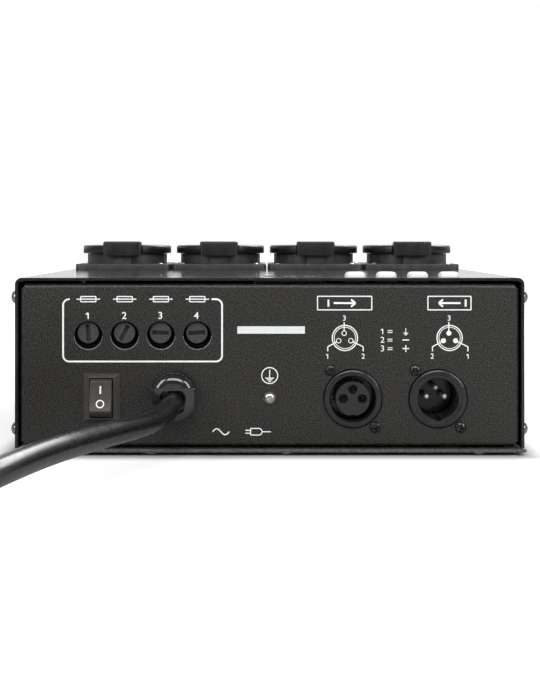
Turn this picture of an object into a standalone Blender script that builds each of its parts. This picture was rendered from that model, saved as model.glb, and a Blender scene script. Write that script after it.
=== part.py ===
# Four-channel switch pack: a folded steel case with four lidded mains sockets on top,
# fuses, rocker switch, cable bushing and two data connectors in the rear panel.
# Metres, +Z up. The rear panel faces -Y, and the origin is under the middle of the case.

import math

import bmesh
import bpy
from mathutils import Euler, Matrix, Vector

mm = 0.001

# Sides of round solids, and how far a cutter runs past, or a joined shape into, another
fine_sides = 32
round_sides = 20
small_sides = 12
past = 5 * mm
bite = 0.5 * mm

# Case
case_width = 214 * mm
case_depth = 200 * mm
cover_top = 74.7 * mm
cover_bottom = 3.1 * mm
sheet = 1.2 * mm
cover_radius = 2.8 * mm
base_low = 1.4 * mm
base_top = 2.8 * mm
base_overhang = 1.1 * mm
fit_gap = 0.3 * mm
panel_width = 209.4 * mm
panel_low = 4.0 * mm
panel_high = 72.1 * mm
panel_recess = 0.5 * mm
panel_flange = 12 * mm
panel_radius = 1.5 * mm
foot_radius = 6 * mm
foot_places = ((-90 * mm, 14 * mm), (90 * mm, 14 * mm), (-90 * mm, 186 * mm),
               (90 * mm, 186 * mm))

# Mains sockets, in a row across the top. Heights are above the cover.
socket_pitch = 51.0 * mm
socket_back = 154 * mm
flange_size = 50 * mm
flange_height = 3.0 * mm
flange_corner = 2.5 * mm
neck_radius = 21.7 * mm
neck_height = 8.2 * mm
socket_depth = 25 * mm
recess_radius = 19.5 * mm
recess_depth = 17.5 * mm
contact_spacing = 19 * mm
contact_radius = 2.6 * mm
contact_depth = 21 * mm
lid_rim = 12.3 * mm
hinge_y = -23.1 * mm
hinge_z = 11.4 * mm
hinge_half = 10 * mm
hinge_front = -27.6 * mm
hinge_back = -20.8 * mm
hinge_low = 7.5 * mm
hinge_top = 14.9 * mm
hinge_wall = 1.6 * mm
barrel_radius = 2.6 * mm
barrel_half = 8.05 * mm
pin_radius = 1.0 * mm
pin_hole_radius = 1.35 * mm

# Rear panel layout: places measured across from the middle and up from the floor
fuse_hole_x = (-76.2 * mm, -60.9 * mm, -45.7 * mm, -30.4 * mm)
fuse_hole_z = 50.5 * mm
fuse_hole_radius = 5.9 * mm
fuse_shift = (-0.3 * mm, 1.0 * mm)
fuse_slot_turn = (94, 63, 0, 5)
switch_place = (-70.5 * mm, 24.4 * mm)
gland_place = (-41.0 * mm, 24.6 * mm)
earth_place = (0.0, 24.2 * mm)
output_place = (34.9 * mm, 23.9 * mm)
input_place = (70.7 * mm, 23.9 * mm)

# Cable gland and data connectors
gland_radius = 9.7 * mm
gland_half_flat = 9.25 * mm
gland_proud = 9.0 * mm
gland_barrel_radius = 7.4 * mm
panel_opening_radius = 12.55 * mm
connector_screws = (19 * mm, 24 * mm)
connector_hole_radius = 1.6 * mm
pole_circle = 3.98 * mm

# Rocker switch
bezel_size = (15.4 * mm, 20.4 * mm)
rocker_radius = 8.1 * mm
rocker_swing = 12
rocker_sink = 2.0 * mm
bezel_height = 2.0 * mm
rocker_width = 9.1 * mm

# Buttons and display in the top, near the rear edge
button_x = (37.2 * mm, 50.8 * mm, 64.4 * mm, 78.0 * mm)
button_back = 18 * mm
button_proud = 1.7 * mm
button_size = (8.8 * mm, 7.0 * mm)
button_corner = 1.6 * mm
display_x = 9 * mm
display_back = 20.5 * mm
display_size = (30 * mm, 13.6 * mm)

# Boards and what stands on them
power_board_top = 44.0 * mm
board = 1.6 * mm
pillar_radius = 3 * mm
pillar_places = ((-86 * mm, 20 * mm), (86 * mm, 20 * mm), (-86 * mm, 112 * mm),
                 (86 * mm, 112 * mm))
relay_size = (29 * mm, 12.8 * mm, 15.7 * mm)
relay_pitch = 44 * mm
relay_back = 62 * mm
supply_back = 98 * mm
transformer_x = -58 * mm
terminal_x = 24 * mm
terminal_pitch = 7.2 * mm

# Cover screws, seen on both sides near the rear edge
screw_back = 7 * mm
screw_heights = (10.5 * mm, 66.4 * mm)
screw_hole_radius = 1.75 * mm

# Mains cable. Route points are (across, out from the rear panel, up).
cable_radius = 4.6 * mm
cable_route = (
    (-41.0, 2.3, 23.3),
    (-41.0, 12.0, 23.3),
    (-47.2, 30.0, 20.2),
    (-62.4, 65.0, 19.4),
    (-73.7, 105.0, 20.6),
    (-83.0, 140.0, 20.8),
    (-90.7, 157.4, 18.6),
    (-103.7, 171.4, 13.6),
    (-120.4, 180.5, 8.0),
    (-139.2, 183.6, 4.8),
    (-148.5, 183.6, 4.8),
)
coil_centre = (-158.0 * mm, 123.6 * mm)
coil_radius = 60 * mm
coil_turns = 4.25
coil_pitch = 9.8 * mm
coil_rise = 9.8 * mm
coil_low = 4.8 * mm
coil_loop_points = 24
plug_height = 18.8 * mm

# The rocker's lower end is the rearmost thing, the base plate's edge the foremost.
rocker_chord = rocker_radius * math.sin(
    math.asin(rocker_sink / rocker_radius) + math.radians(rocker_swing)
)
rocker_tip = rocker_radius * math.sin(
    math.asin(rocker_sink / rocker_radius) + math.radians(2 * rocker_swing)
)
rear_reach = rocker_tip - rocker_sink + bezel_height - panel_recess
rear_y = -(case_depth + base_overhang - rear_reach) / 2
front_y = rear_y + case_depth
panel_y = rear_y + panel_recess


# Collections, materials and basic makers

for old in list(bpy.data.objects):
    bpy.data.objects.remove(old, do_unlink=True)

pack = bpy.data.collections.new("switch_pack")
tools = bpy.data.collections.new("cutters")
bpy.context.scene.collection.children.link(pack)
bpy.context.scene.collection.children.link(tools)


def material(name, colour, roughness, metallic=0.0):
    made = bpy.data.materials.new(name)
    made.use_nodes = True
    shader = made.node_tree.nodes["Principled BSDF"]
    shader.inputs["Base Color"].default_value = (*colour, 1)
    shader.inputs["Roughness"].default_value = roughness
    shader.inputs["Metallic"].default_value = metallic
    return made


powder_coat = material("powder_coat", (0.022, 0.022, 0.022), 0.55)
black_plastic = material("black_plastic", (0.02, 0.02, 0.021), 0.38)
grey_plastic = material("grey_plastic", (0.10, 0.085, 0.08), 0.42)
gland_nylon = material("gland_nylon", (0.012, 0.012, 0.012), 0.2)
cable_rubber = material("cable_rubber", (0.015, 0.015, 0.016), 0.3)
nickel = material("nickel", (0.72, 0.68, 0.62), 0.28, 1.0)
steel = material("steel", (0.55, 0.55, 0.56), 0.35, 1.0)
white_key = material("white_key", (0.86, 0.86, 0.84), 0.4)
circuit_board = material("circuit_board", (0.02, 0.16, 0.07), 0.45)
relay_blue = material("relay_blue", (0.02, 0.08, 0.3), 0.35)
transformer_iron = material("transformer_iron", (0.3, 0.29, 0.28), 0.5, 0.6)
terminal_green = material("terminal_green", (0.03, 0.3, 0.14), 0.45)
display_red = material("display_red", (0.12, 0.004, 0.004), 0.1)
fuse_glass = material("fuse_glass", (0.7, 0.74, 0.74), 0.08)
foot_rubber = material("foot_rubber", (0.03, 0.03, 0.03), 0.8)


def keep(name, mesh, place=None, parent=None, shown=None):
    """Put a mesh in the scene as a piece with its material, or as a cutter without one."""
    piece = bpy.data.objects.new(name, mesh)
    if place is not None:
        piece.location = place
    piece.parent = parent
    if shown is None:
        tools.objects.link(piece)
        piece.hide_render = True
        piece.display_type = "WIRE"
    else:
        mesh.materials.append(shown)
        pack.objects.link(piece)
        mesh.shade_smooth()
        mesh.set_sharp_from_angle(angle=math.radians(32))
    return piece


def frame_at(name, place, turn=(0, 0, 0)):
    """An empty that carries the pieces built around it."""
    holder = bpy.data.objects.new(name, None)
    holder.location = place
    holder.rotation_euler = Euler(turn)
    pack.objects.link(holder)
    return holder


def panel_frame(name, x, z):
    """A frame on the rear panel's face: local Z points out of it, local Y up."""
    return frame_at(name, (x, panel_y, z), (math.radians(90), 0, 0))


def to_mesh(name, shape):
    mesh = bpy.data.meshes.new(name)
    shape.to_mesh(mesh)
    shape.free()
    return mesh


def box_mesh(name, low, high, upright=0.0, top=0.0, steps=3):
    """A box, with its upright edges rounded and its upper rim bevelled where asked."""
    shape = bmesh.new()
    bmesh.ops.create_cube(shape, size=1)
    low, high = Vector(low), Vector(high)
    size = high - low
    bmesh.ops.scale(shape, vec=size, verts=shape.verts)
    bmesh.ops.translate(shape, vec=(low + high) / 2, verts=shape.verts)
    if upright:
        edges = [e for e in shape.edges if abs((e.verts[0].co - e.verts[1].co).z) > size.z / 2]
        bmesh.ops.bevel(shape, geom=edges, offset=upright, segments=steps, affect="EDGES",
                        profile=0.5)
    if top:
        edges = [e for e in shape.edges if min(v.co.z for v in e.verts) > high.z - 1e-6]
        bmesh.ops.bevel(shape, geom=edges, offset=top, segments=1, affect="EDGES", profile=0.5)
    return to_mesh(name, shape)


def rod_mesh(name, radius, low, high, centre=(0, 0), axis="Z", sides=round_sides):
    """A cylinder from low to high along an axis through centre."""
    shape = bmesh.new()
    bmesh.ops.create_cone(shape, cap_ends=True, segments=sides, radius1=radius,
                          radius2=radius, depth=high - low)
    bmesh.ops.translate(shape, vec=(centre[0], centre[1], (low + high) / 2), verts=shape.verts)
    if axis == "X":
        turn = Matrix(((0, 0, 1), (1, 0, 0), (0, 1, 0)))
        bmesh.ops.transform(shape, matrix=turn.to_4x4(), verts=shape.verts)
    return to_mesh(name, shape)


def turned(name, profile, parent, shown=None, sides=fine_sides, place=None):
    """A profile of (radius, height) in mm turned about its Z axis, listed down its outer side."""
    shape = bmesh.new()
    points = [shape.verts.new((radius * mm, 0, height * mm)) for radius, height in profile]
    for first, second in zip(points, points[1:]):
        shape.edges.new((first, second))
    piece = keep(name, to_mesh(name, shape), place, parent, shown)
    screw = piece.modifiers.new("turn", "SCREW")
    screw.axis = "Z"
    screw.steps = screw.render_steps = sides
    screw.use_merge_vertices = True
    screw.merge_threshold = 0.00001
    screw.use_smooth_shade = True
    return piece


def extruded_mesh(name, outline, half):
    """A flat outline in the XY plane, thickened by half on both sides."""
    curve = bpy.data.curves.new(name, "CURVE")
    curve.dimensions = "2D"
    curve.fill_mode = "BOTH"
    curve.extrude = half
    line = curve.splines.new("POLY")
    line.points.add(len(outline) - 1)
    for point, (x, y) in zip(line.points, outline):
        point.co = (x, y, 0, 1)
    line.use_cyclic_u = True
    drawn = bpy.data.objects.new(name, curve)
    bpy.context.scene.collection.objects.link(drawn)
    graph = bpy.context.evaluated_depsgraph_get()
    mesh = bpy.data.meshes.new_from_object(drawn.evaluated_get(graph))
    bpy.data.objects.remove(drawn, do_unlink=True)
    shape = bmesh.new()
    shape.from_mesh(mesh)
    bmesh.ops.remove_doubles(shape, verts=shape.verts, dist=1e-6)
    bmesh.ops.dissolve_limit(shape, angle_limit=0.01, verts=shape.verts, edges=shape.edges)
    bmesh.ops.recalc_face_normals(shape, faces=shape.faces)
    shape.to_mesh(mesh)
    shape.free()
    return mesh


def combine(piece, other, operation):
    step = piece.modifiers.new(other.name, "BOOLEAN")
    step.operation = operation
    step.object = other
    step.solver = "EXACT"


def cut(piece, mesh, parent=None, place=None):
    combine(piece, keep("cut_" + mesh.name, mesh, place, parent), "DIFFERENCE")


def join(piece, mesh, parent=None, place=None):
    combine(piece, keep("add_" + mesh.name, mesh, place, parent), "UNION")


def cross_recess(screw, holder, reach, width, low, turns):
    """A cross for the driver in a screw's head."""
    for turn in turns:
        blade = box_mesh("%s_cross_%d" % (screw.name, turn), (-reach, -width / 2, low),
                         (reach, width / 2, past))
        blade.transform(Matrix.Rotation(math.radians(turn), 4, "Z"))
        cut(screw, blade, holder)


# Case

def rounded_channel(name, half_width, low, high, y_low, y_high, radius, steps):
    """A block whose two upper long edges are rounded."""
    shape = bmesh.new()
    bmesh.ops.create_cube(shape, size=1)
    bmesh.ops.scale(shape, vec=(2 * half_width, y_high - y_low, high - low), verts=shape.verts)
    bmesh.ops.translate(shape, vec=(0, (y_low + y_high) / 2, (low + high) / 2),
                        verts=shape.verts)
    edges = [e for e in shape.edges
             if abs((e.verts[0].co - e.verts[1].co).y) > 1e-6 and e.verts[0].co.z > high - 1e-6]
    bmesh.ops.bevel(shape, geom=edges, offset=radius, segments=steps, affect="EDGES",
                    profile=0.5)
    return to_mesh(name, shape)


def make_cover():
    half = case_width / 2
    outer = rounded_channel("top_cover", half, cover_bottom, cover_top, rear_y, front_y,
                            cover_radius, 4)
    cover = keep("top_cover", outer, shown=powder_coat)
    inner = rounded_channel("cover_inside", half - sheet, cover_bottom - 10 * mm,
                            cover_top - sheet, rear_y - 5 * mm, front_y + 5 * mm,
                            cover_radius - sheet, 4)
    cut(cover, inner)
    return cover


def make_tray(name, face_y, inward):
    """A panel with its four edges bent back into the case. inward is +1 or -1 along Y."""
    half = panel_width / 2
    shape = bmesh.new()
    bmesh.ops.create_cube(shape, size=1)
    bmesh.ops.scale(shape, vec=(panel_width, panel_flange, panel_high - panel_low),
                    verts=shape.verts)
    middle = (0, face_y + inward * panel_flange / 2, (panel_low + panel_high) / 2)
    bmesh.ops.translate(shape, vec=middle, verts=shape.verts)
    edges = [e for e in shape.edges if all(abs(v.co.y - face_y) < 1e-6 for v in e.verts)]
    bmesh.ops.bevel(shape, geom=edges, offset=panel_radius, segments=3, affect="EDGES",
                    profile=0.5)
    tray = keep(name, to_mesh(name, shape), shown=powder_coat)
    ends = sorted((face_y + inward * sheet, face_y + inward * (panel_flange + 5 * mm)))
    cut(tray, box_mesh(name + "_inside", (-half + sheet, ends[0], panel_low + sheet),
                       (half - sheet, ends[1], panel_high - sheet)))
    return tray


def make_base():
    half = case_width / 2 + base_overhang
    base = keep("base_plate", box_mesh("base_plate",
                                       (-half, rear_y - base_overhang, base_low),
                                       (half, front_y + base_overhang, base_top)),
                shown=powder_coat)
    for number, (x, back) in enumerate(pillar_places):
        join(base, rod_mesh("pillar_%d" % number, pillar_radius, base_top - bite,
                            power_board_top - board - fit_gap, (x, rear_y + back),
                            sides=small_sides))
    for number, (x, back) in enumerate(foot_places, 1):
        foot = rod_mesh("foot_%d" % number, foot_radius, 0, base_low - fit_gap)
        keep("foot_%d" % number, foot, (x, rear_y + back, 0), shown=foot_rubber)


def make_cover_screws(cover, rear_panel):
    """Pan-head screws through the cover's sides into the rear panel's bent edges."""
    head = ((0, 2.8), (1.2, 2.8), (2.2, 2.2), (2.7, 1.2), (2.7, 0.3), (1.4, 0.3), (1.4, -6),
            (0, -6))
    number = 0
    for side in (-1, 1):
        for height in screw_heights:
            number += 1
            name = "cover_screw_%d" % number
            holder = frame_at(name + "_axis",
                              (side * case_width / 2, rear_y + screw_back, height),
                              (0, side * math.radians(90), 0))
            screw = turned(name, head, holder, nickel, small_sides)
            cross_recess(screw, holder, 1.3 * mm, 0.6 * mm, 1.7 * mm, (0, 90))
            for piece in (cover, rear_panel):
                cut(piece, rod_mesh("%s_hole_%s" % (name, piece.name), screw_hole_radius,
                                    -8 * mm, past, sides=small_sides), holder)


# Mains sockets

def make_socket(number, cover):
    x = (number - 2.5) * socket_pitch
    holder = frame_at("socket_%d_middle" % number, (x, rear_y + socket_back, cover_top))
    tag = "socket_body_%d" % number
    half = flange_size / 2
    flange = box_mesh(tag, (-half, -half, fit_gap), (half, half, flange_height),
                      flange_corner, 0.5 * mm)
    body = keep(tag, flange, None, holder, black_plastic)
    join(body, rod_mesh(tag + "_neck", neck_radius, -socket_depth, neck_height,
                        sides=fine_sides), holder)
    join(body, box_mesh(tag + "_lug", (-hinge_half / 2, fit_gap - half, flange_height / 2),
                        (hinge_half / 2, 3 * mm - neck_radius, hinge_low + bite)), holder)
    join(body, box_mesh(tag + "_hinge", (-hinge_half, hinge_front, hinge_low),
                        (hinge_half, hinge_back, hinge_top), 0.6 * mm, 0.5 * mm, 1), holder)
    room = hinge_half - hinge_wall
    cut(body, box_mesh(tag + "_hinge_room", (-room, hinge_front + hinge_wall, hinge_low + 0.9 * mm),
                       (room, hinge_back + past, hinge_top + past)), holder)
    cut(body, rod_mesh(tag + "_pin_hole", pin_hole_radius, -hinge_half - past, hinge_half + past,
                       (hinge_y, hinge_z), "X", small_sides), holder)
    cut(body, rod_mesh(tag + "_recess", recess_radius, neck_height - recess_depth,
                       neck_height + past, sides=fine_sides), holder)
    for side in (-1, 1):
        cut(body, rod_mesh("%s_contact_%d" % (tag, side), contact_radius, -contact_depth,
                           0, (side * contact_spacing / 2, 0), sides=small_sides), holder)
    cut(cover, rod_mesh(tag + "_cover_hole", neck_radius + fit_gap, -past, past,
                        sides=fine_sides), holder)
    make_lid(number, holder)


def make_lid(number, holder):
    """The flap lid, with its origin on the hinge axis."""
    tag = "socket_lid_%d" % number
    hinge = frame_at("socket_hinge_%d" % number, (0, hinge_y, hinge_z))
    hinge.parent = holder
    crown = ((0, 13.1), (14, 12.9), (21, 12.55), (23.4, 12.3), (23.9, 11.8), (23.9, 8.5),
             (21, 8.5), (20, 9.3), (0, 9.3))
    lid = turned(tag, crown, hinge, black_plastic, 36, (0, -hinge_y, -hinge_z))
    notch = hinge_half + 0.4 * mm
    cut(lid, box_mesh(tag + "_notch", (-notch, hinge_front - past, 0),
                      (notch, hinge_back + 2.2 * mm, hinge_top + past)), holder)
    join(lid, rod_mesh(tag + "_barrel", barrel_radius, -barrel_half, barrel_half,
                       (hinge_y, hinge_z), "X"), holder)
    join(lid, box_mesh(tag + "_arm", (-barrel_half, hinge_y, hinge_z + 0.05 * mm - barrel_radius),
                       (barrel_half, hinge_back + 2.8 * mm, lid_rim + 0.1 * mm)), holder)
    cut(lid, rod_mesh(tag + "_bore", pin_hole_radius, -hinge_half, hinge_half,
                      (hinge_y, hinge_z), "X", small_sides), holder)
    pin = rod_mesh("socket_pin_%d" % number, pin_radius, 0.2 * mm - hinge_half,
                   hinge_half - 0.2 * mm, axis="X", sides=small_sides)
    keep("socket_pin_%d" % number, pin, (0, hinge_y, hinge_z), holder, steel)


# Rear panel

def make_fuse(number, rear_panel):
    hole_x = fuse_hole_x[number - 1]
    hole = panel_frame("fuse_hole_%d" % number, hole_x, fuse_hole_z)
    cut(rear_panel, rod_mesh("fuse_opening_%d" % number, fuse_hole_radius, -past, past), hole)
    axis = panel_frame("fuse_axis_%d" % number, hole_x + fuse_shift[0],
                       fuse_hole_z + fuse_shift[1])
    bore = ((0, -30), (3.4, -30), (3.4, -17), (5, -17), (5, -5), (5.6, -2))
    shell = ((6.3, -2), (6.3, -32), (0, -32))
    holder = turned("fuse_holder_%d" % number, bore + shell, axis, black_plastic, 16)
    foot_low = power_board_top + fit_gap - fuse_hole_z - fuse_shift[1]
    join(holder, box_mesh("fuse_foot_%d" % number, (-4.5 * mm, foot_low, -29 * mm),
                          (4.5 * mm, -5.4 * mm, -6 * mm)), axis)
    cap_profile = ((0, -5), (4.2, -5), (4.6, -5.5), (4.6, -13), (4, -13.5), (4, -16),
                   (2.95, -16), (2.95, -8), (0, -8))
    cap = turned("fuse_cap_%d" % number, cap_profile, axis, black_plastic, 16)
    slot = box_mesh("fuse_slot_%d" % number, (-3.6 * mm, -0.75 * mm, -6.4 * mm),
                    (3.6 * mm, 0.75 * mm, 0))
    slot.transform(Matrix.Rotation(math.radians(fuse_slot_turn[number - 1]), 4, "Z"))
    cut(cap, slot, axis)
    link_profile = ((0, -8.4), (2.6, -8.4), (2.6, -13.4), (2.4, -13.5), (2.4, -23.3),
                    (2.6, -23.4), (2.6, -28.4), (0, -28.4))
    turned("fuse_link_%d" % number, link_profile, axis, fuse_glass, small_sides)


def rocker_outline():
    """The rocker's side, in (along its length, out of the panel) from its pivot."""
    start = math.asin(rocker_chord / rocker_radius)
    arc = [start - step * (start + math.radians(14)) / 4 for step in range(5)]
    right = [(rocker_radius * math.cos(a), rocker_radius * math.sin(a)) for a in arc]
    left = [(-along, out) for along, out in reversed(right)]
    crease = [(0, rocker_chord - 0.5 * mm)]
    return crease + right + left


def make_switch(rear_panel):
    axis = panel_frame("switch_middle", *switch_place)
    across, along = bezel_size[0] / 2, bezel_size[1] / 2
    bezel = box_mesh("switch_housing", (-across, -along, fit_gap), (across, along, bezel_height))
    shape = bmesh.new()
    shape.from_mesh(bezel)
    rim = [v for v in shape.verts if v.co.z > bezel_height / 2]
    bmesh.ops.scale(shape, vec=(0.86, 0.895, 1), verts=rim)
    shape.to_mesh(bezel)
    shape.free()
    housing = keep("switch_housing", bezel, None, axis, black_plastic)
    join(housing, box_mesh("switch_barrel", (-6.4 * mm, -9.4 * mm, -20 * mm),
                           (6.4 * mm, 9.4 * mm, bezel_height / 2)), axis)
    for number in range(3):
        y = (number - 1) * 6 * mm
        join(housing, box_mesh("switch_blade_%d" % number, (-2.4 * mm, y - 0.4 * mm, -28 * mm),
                               (2.4 * mm, y + 0.4 * mm, -19 * mm)), axis)
    cut(housing, box_mesh("switch_opening", (-4.9 * mm, -8.4 * mm, -7.2 * mm),
                          (4.9 * mm, 8.4 * mm, past)), axis)
    cut(rear_panel, box_mesh("switch_cutout", (-6.8 * mm, -9.8 * mm, -past),
                             (6.8 * mm, 9.8 * mm, past)), axis)
    side = extruded_mesh("switch_rocker", rocker_outline(), rocker_width / 2)
    # Length to local Y, outwards to local Z, thickness across, then tipped to the on side.
    side.transform(Matrix(((0, 0, 1), (1, 0, 0), (0, 1, 0))).to_4x4())
    pivot = (0, 0, bezel_height - rocker_sink)
    rocker = keep("switch_rocker", side, pivot, axis, grey_plastic)
    rocker.rotation_euler = (-math.radians(rocker_swing), 0, 0)


def flat_sided(radius, half_flat, steps=7):
    """A circle cut by two upright flats, as an outline."""
    limit = math.acos(half_flat / radius)
    angles = [limit + step * (math.pi - 2 * limit) / steps for step in range(steps + 1)]
    upper = [(radius * math.cos(a), radius * math.sin(a)) for a in angles]
    return upper + [(-x, -y) for x, y in upper]


def make_gland(rear_panel):
    axis = panel_frame("gland_middle", *gland_place)
    outline = extruded_mesh("cable_gland", flat_sided(gland_radius, gland_half_flat),
                            (gland_proud - fit_gap) / 2)
    outline.transform(Matrix.Translation((0, 0, (gland_proud + fit_gap) / 2)))
    shape = bmesh.new()
    shape.from_mesh(outline)
    rim = [e for e in shape.edges if all(v.co.z > gland_proud - 1e-5 for v in e.verts)]
    bmesh.ops.bevel(shape, geom=rim, offset=2.2 * mm, segments=3, affect="EDGES", profile=0.5)
    shape.to_mesh(outline)
    shape.free()
    gland = keep("cable_gland", outline, None, axis, gland_nylon)
    join(gland, rod_mesh("gland_barrel", gland_barrel_radius, -16 * mm, 2 * mm), axis)
    cut(gland, box_mesh("gland_mouth", (-5.6 * mm, -7.1 * mm, 2.0 * mm),
                        (5.6 * mm, 3.9 * mm, gland_proud + past)), axis)
    cut(rear_panel, rod_mesh("gland_opening", gland_barrel_radius + 0.4 * mm, -past, past), axis)


def make_earth_screw(rear_panel):
    axis = panel_frame("earth_middle", *earth_place)
    profile = ((0, 2), (1.3, 1.95), (2.2, 1.4), (2.6, 0.3), (1.4, 0.3), (1.4, -9), (0, -9))
    screw = turned("earth_screw", profile, axis, nickel, 16)
    cross_recess(screw, axis, 1.4 * mm, 0.7 * mm, 1.0 * mm, (20, 110))
    cut(rear_panel, rod_mesh("earth_opening", screw_hole_radius, -past, past,
                             sides=small_sides), axis)


def make_connector(kind, place, rear_panel):
    """A round three-pole data connector held from behind the panel by two screws."""
    axis = panel_frame(kind + "_middle", *place)
    male = kind == "input"
    mouth = 8.5 * mm if male else 9.4 * mm
    floor = -19 * mm if male else -14 * mm
    profile = ((0, 1.2), (11.7, 1.2), (12.2, 0.7), (12.2, -23), (0, -23))
    shell = turned(kind + "_connector_shell", profile, axis, black_plastic, 28)
    join(shell, box_mesh(kind + "_flange", (-13 * mm, -15.5 * mm, -3.5 * mm),
                         (13 * mm, 15.5 * mm, -1.5 * mm)), axis)
    cut(shell, rod_mesh(kind + "_bore", mouth, floor, past, sides=28), axis)
    for side in (-1, 1):
        spot = (side * connector_screws[0] / 2, -side * connector_screws[1] / 2)
        for piece in (shell, rear_panel):
            cut(piece, rod_mesh("%s_screw_hole_%d_%s" % (kind, side, piece.name),
                                connector_hole_radius, -past, past, spot, sides=small_sides),
                axis)
    cut(rear_panel, rod_mesh(kind + "_opening", panel_opening_radius, -past, past, sides=28), axis)
    poles = ((-pole_circle, 0), (pole_circle, 0), (0, pole_circle))
    tag = kind + "_connector_insert"
    if male:
        insert = keep(tag, rod_mesh(tag, mouth - 0.4 * mm, floor + fit_gap, floor + 3 * mm),
                      None, axis, black_plastic)
        for number, spot in enumerate(poles):
            join(insert, rod_mesh("%s_pin_%d" % (tag, number), 1.2 * mm, floor + 1 * mm,
                                  -6 * mm, spot, sides=small_sides), axis)
    else:
        insert = keep(tag, rod_mesh(tag, mouth - 2 * mm, floor + fit_gap, 0.6 * mm),
                      None, axis, black_plastic)
        for number, spot in enumerate(poles):
            cut(insert, rod_mesh("%s_hole_%d" % (tag, number), 1.6 * mm, -10 * mm, past,
                                 spot, sides=small_sides), axis)


# Buttons, display and boards

def make_buttons(cover):
    across, along = button_size[0] / 2, button_size[1] / 2
    for number, x in enumerate(button_x, 1):
        tag = "channel_button_%d" % number
        axis = frame_at(tag + "_axis", (x, rear_y + button_back, cover_top))
        cap = box_mesh(tag, (-across, -along, -7 * mm), (across, along, button_proud),
                       button_corner, 0.6 * mm, 2)
        button = keep(tag, cap, None, axis, white_key)
        brim = 1.2 * mm
        join(button, box_mesh(tag + "_brim", (-across - brim, -along - brim, -2.8 * mm),
                              (across + brim, along + brim, -1.7 * mm)), axis)
        room = 0.35 * mm
        cut(cover, box_mesh(tag + "_hole", (-across - room, -along - room, -past),
                            (across + room, along + room, past), button_corner, 0, 2), axis)


def make_display(cover):
    axis = frame_at("display_middle", (display_x, rear_y + display_back, cover_top))
    across, along = display_size[0] / 2, display_size[1] / 2
    keep("address_display", box_mesh("address_display", (-across, -along, -11 * mm),
                                     (across, along, -0.1 * mm)), None, axis, display_red)
    room = 0.4 * mm
    cut(cover, box_mesh("display_hole", (-across - room, -along - room, -past),
                        (across + room, along + room, past)), axis)


def make_boards():
    control_top = cover_top - 11.4 * mm
    control = keep("control_board", box_mesh("control_board",
                                             (-14 * mm, rear_y + 5 * mm, control_top - board),
                                             (92 * mm, rear_y + 40 * mm, control_top)),
                   shown=circuit_board)
    for number, x in enumerate(button_x, 1):
        spot = (x, rear_y + button_back)
        join(control, box_mesh("key_switch_%d" % number,
                               (x - 3 * mm, spot[1] - 3 * mm, control_top - bite),
                               (x + 3 * mm, spot[1] + 3 * mm, control_top + 2 * mm)))
        join(control, rod_mesh("key_plunger_%d" % number, 1.7 * mm, control_top + 1 * mm,
                               cover_top - 8.3 * mm, spot, sides=small_sides))
    keep("power_board", box_mesh("power_board", (-92 * mm, rear_y + 8 * mm,
                                                 power_board_top - board),
                                 (92 * mm, rear_y + 118 * mm, power_board_top)),
         shown=circuit_board)
    bottom = power_board_top + fit_gap
    for number in range(1, 5):
        name = "relay_%d" % number
        across, along, high = (side / 2 for side in relay_size)
        keep(name, box_mesh(name, (-across, -along, 0), (across, along, 2 * high),
                            0.8 * mm, 0.6 * mm, 1),
             ((number - 2.5) * relay_pitch, rear_y + relay_back, bottom), shown=relay_blue)
    core = keep("transformer", box_mesh("transformer", (-16 * mm, -8 * mm, 0),
                                        (16 * mm, 8 * mm, 22 * mm)),
                (transformer_x, rear_y + supply_back, bottom), shown=transformer_iron)
    join(core, box_mesh("transformer_coil", (-10 * mm, -13.5 * mm, 3 * mm),
                        (10 * mm, 13.5 * mm, 19 * mm), 2 * mm), core)
    block = keep("terminal_block", box_mesh("terminal_block", (-30 * mm, -5.5 * mm, 0),
                                            (30 * mm, 5.5 * mm, 13 * mm)),
                 (terminal_x, rear_y + supply_back, bottom), shown=terminal_green)
    for number in range(8):
        cut(block, rod_mesh("terminal_%d" % number, 1.6 * mm, 9 * mm, 20 * mm,
                            ((number - 3.5) * terminal_pitch, 0), sides=8), block)


# Mains cable

def smooth_route(points, spacing):
    """The straight ends, and points at even spacing on a smooth curve between them."""
    inner = points[1:-1]
    start = (points[1] - points[0]).normalized() * 2 * (inner[1] - inner[0]).length
    finish = (points[-1] - points[-2]).normalized() * 2 * (inner[-1] - inner[-2]).length
    rows = [inner[1] - start] + inner + [inner[-2] + finish]
    fine = []
    for a, b, c, d in zip(rows, rows[1:], rows[2:], rows[3:]):
        for step in range(20):
            t = step / 20
            fine.append(0.5 * (2 * b + (c - a) * t + (2 * a - 5 * b + 4 * c - d) * t * t
                               + (3 * b - a - 3 * c + d) * t ** 3))
    fine.append(inner[-1])
    lengths = [0.0]
    for first, second in zip(fine, fine[1:]):
        lengths.append(lengths[-1] + (second - first).length)
    count = max(2, round(lengths[-1] / spacing))
    result, index = [points[0]], 0
    for step in range(count + 1):
        target = lengths[-1] * step / count
        while index < len(lengths) - 2 and lengths[index + 1] < target:
            index += 1
        share = (target - lengths[index]) / (lengths[index + 1] - lengths[index])
        result.append(fine[index].lerp(fine[index + 1], share))
    return result + [points[-1]]


def place_on_case(point):
    """From (across, out from the rear panel, up) in millimetres to the model's frame."""
    across, out, up = point
    return Vector((across * mm, panel_y - out * mm, up * mm))


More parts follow.
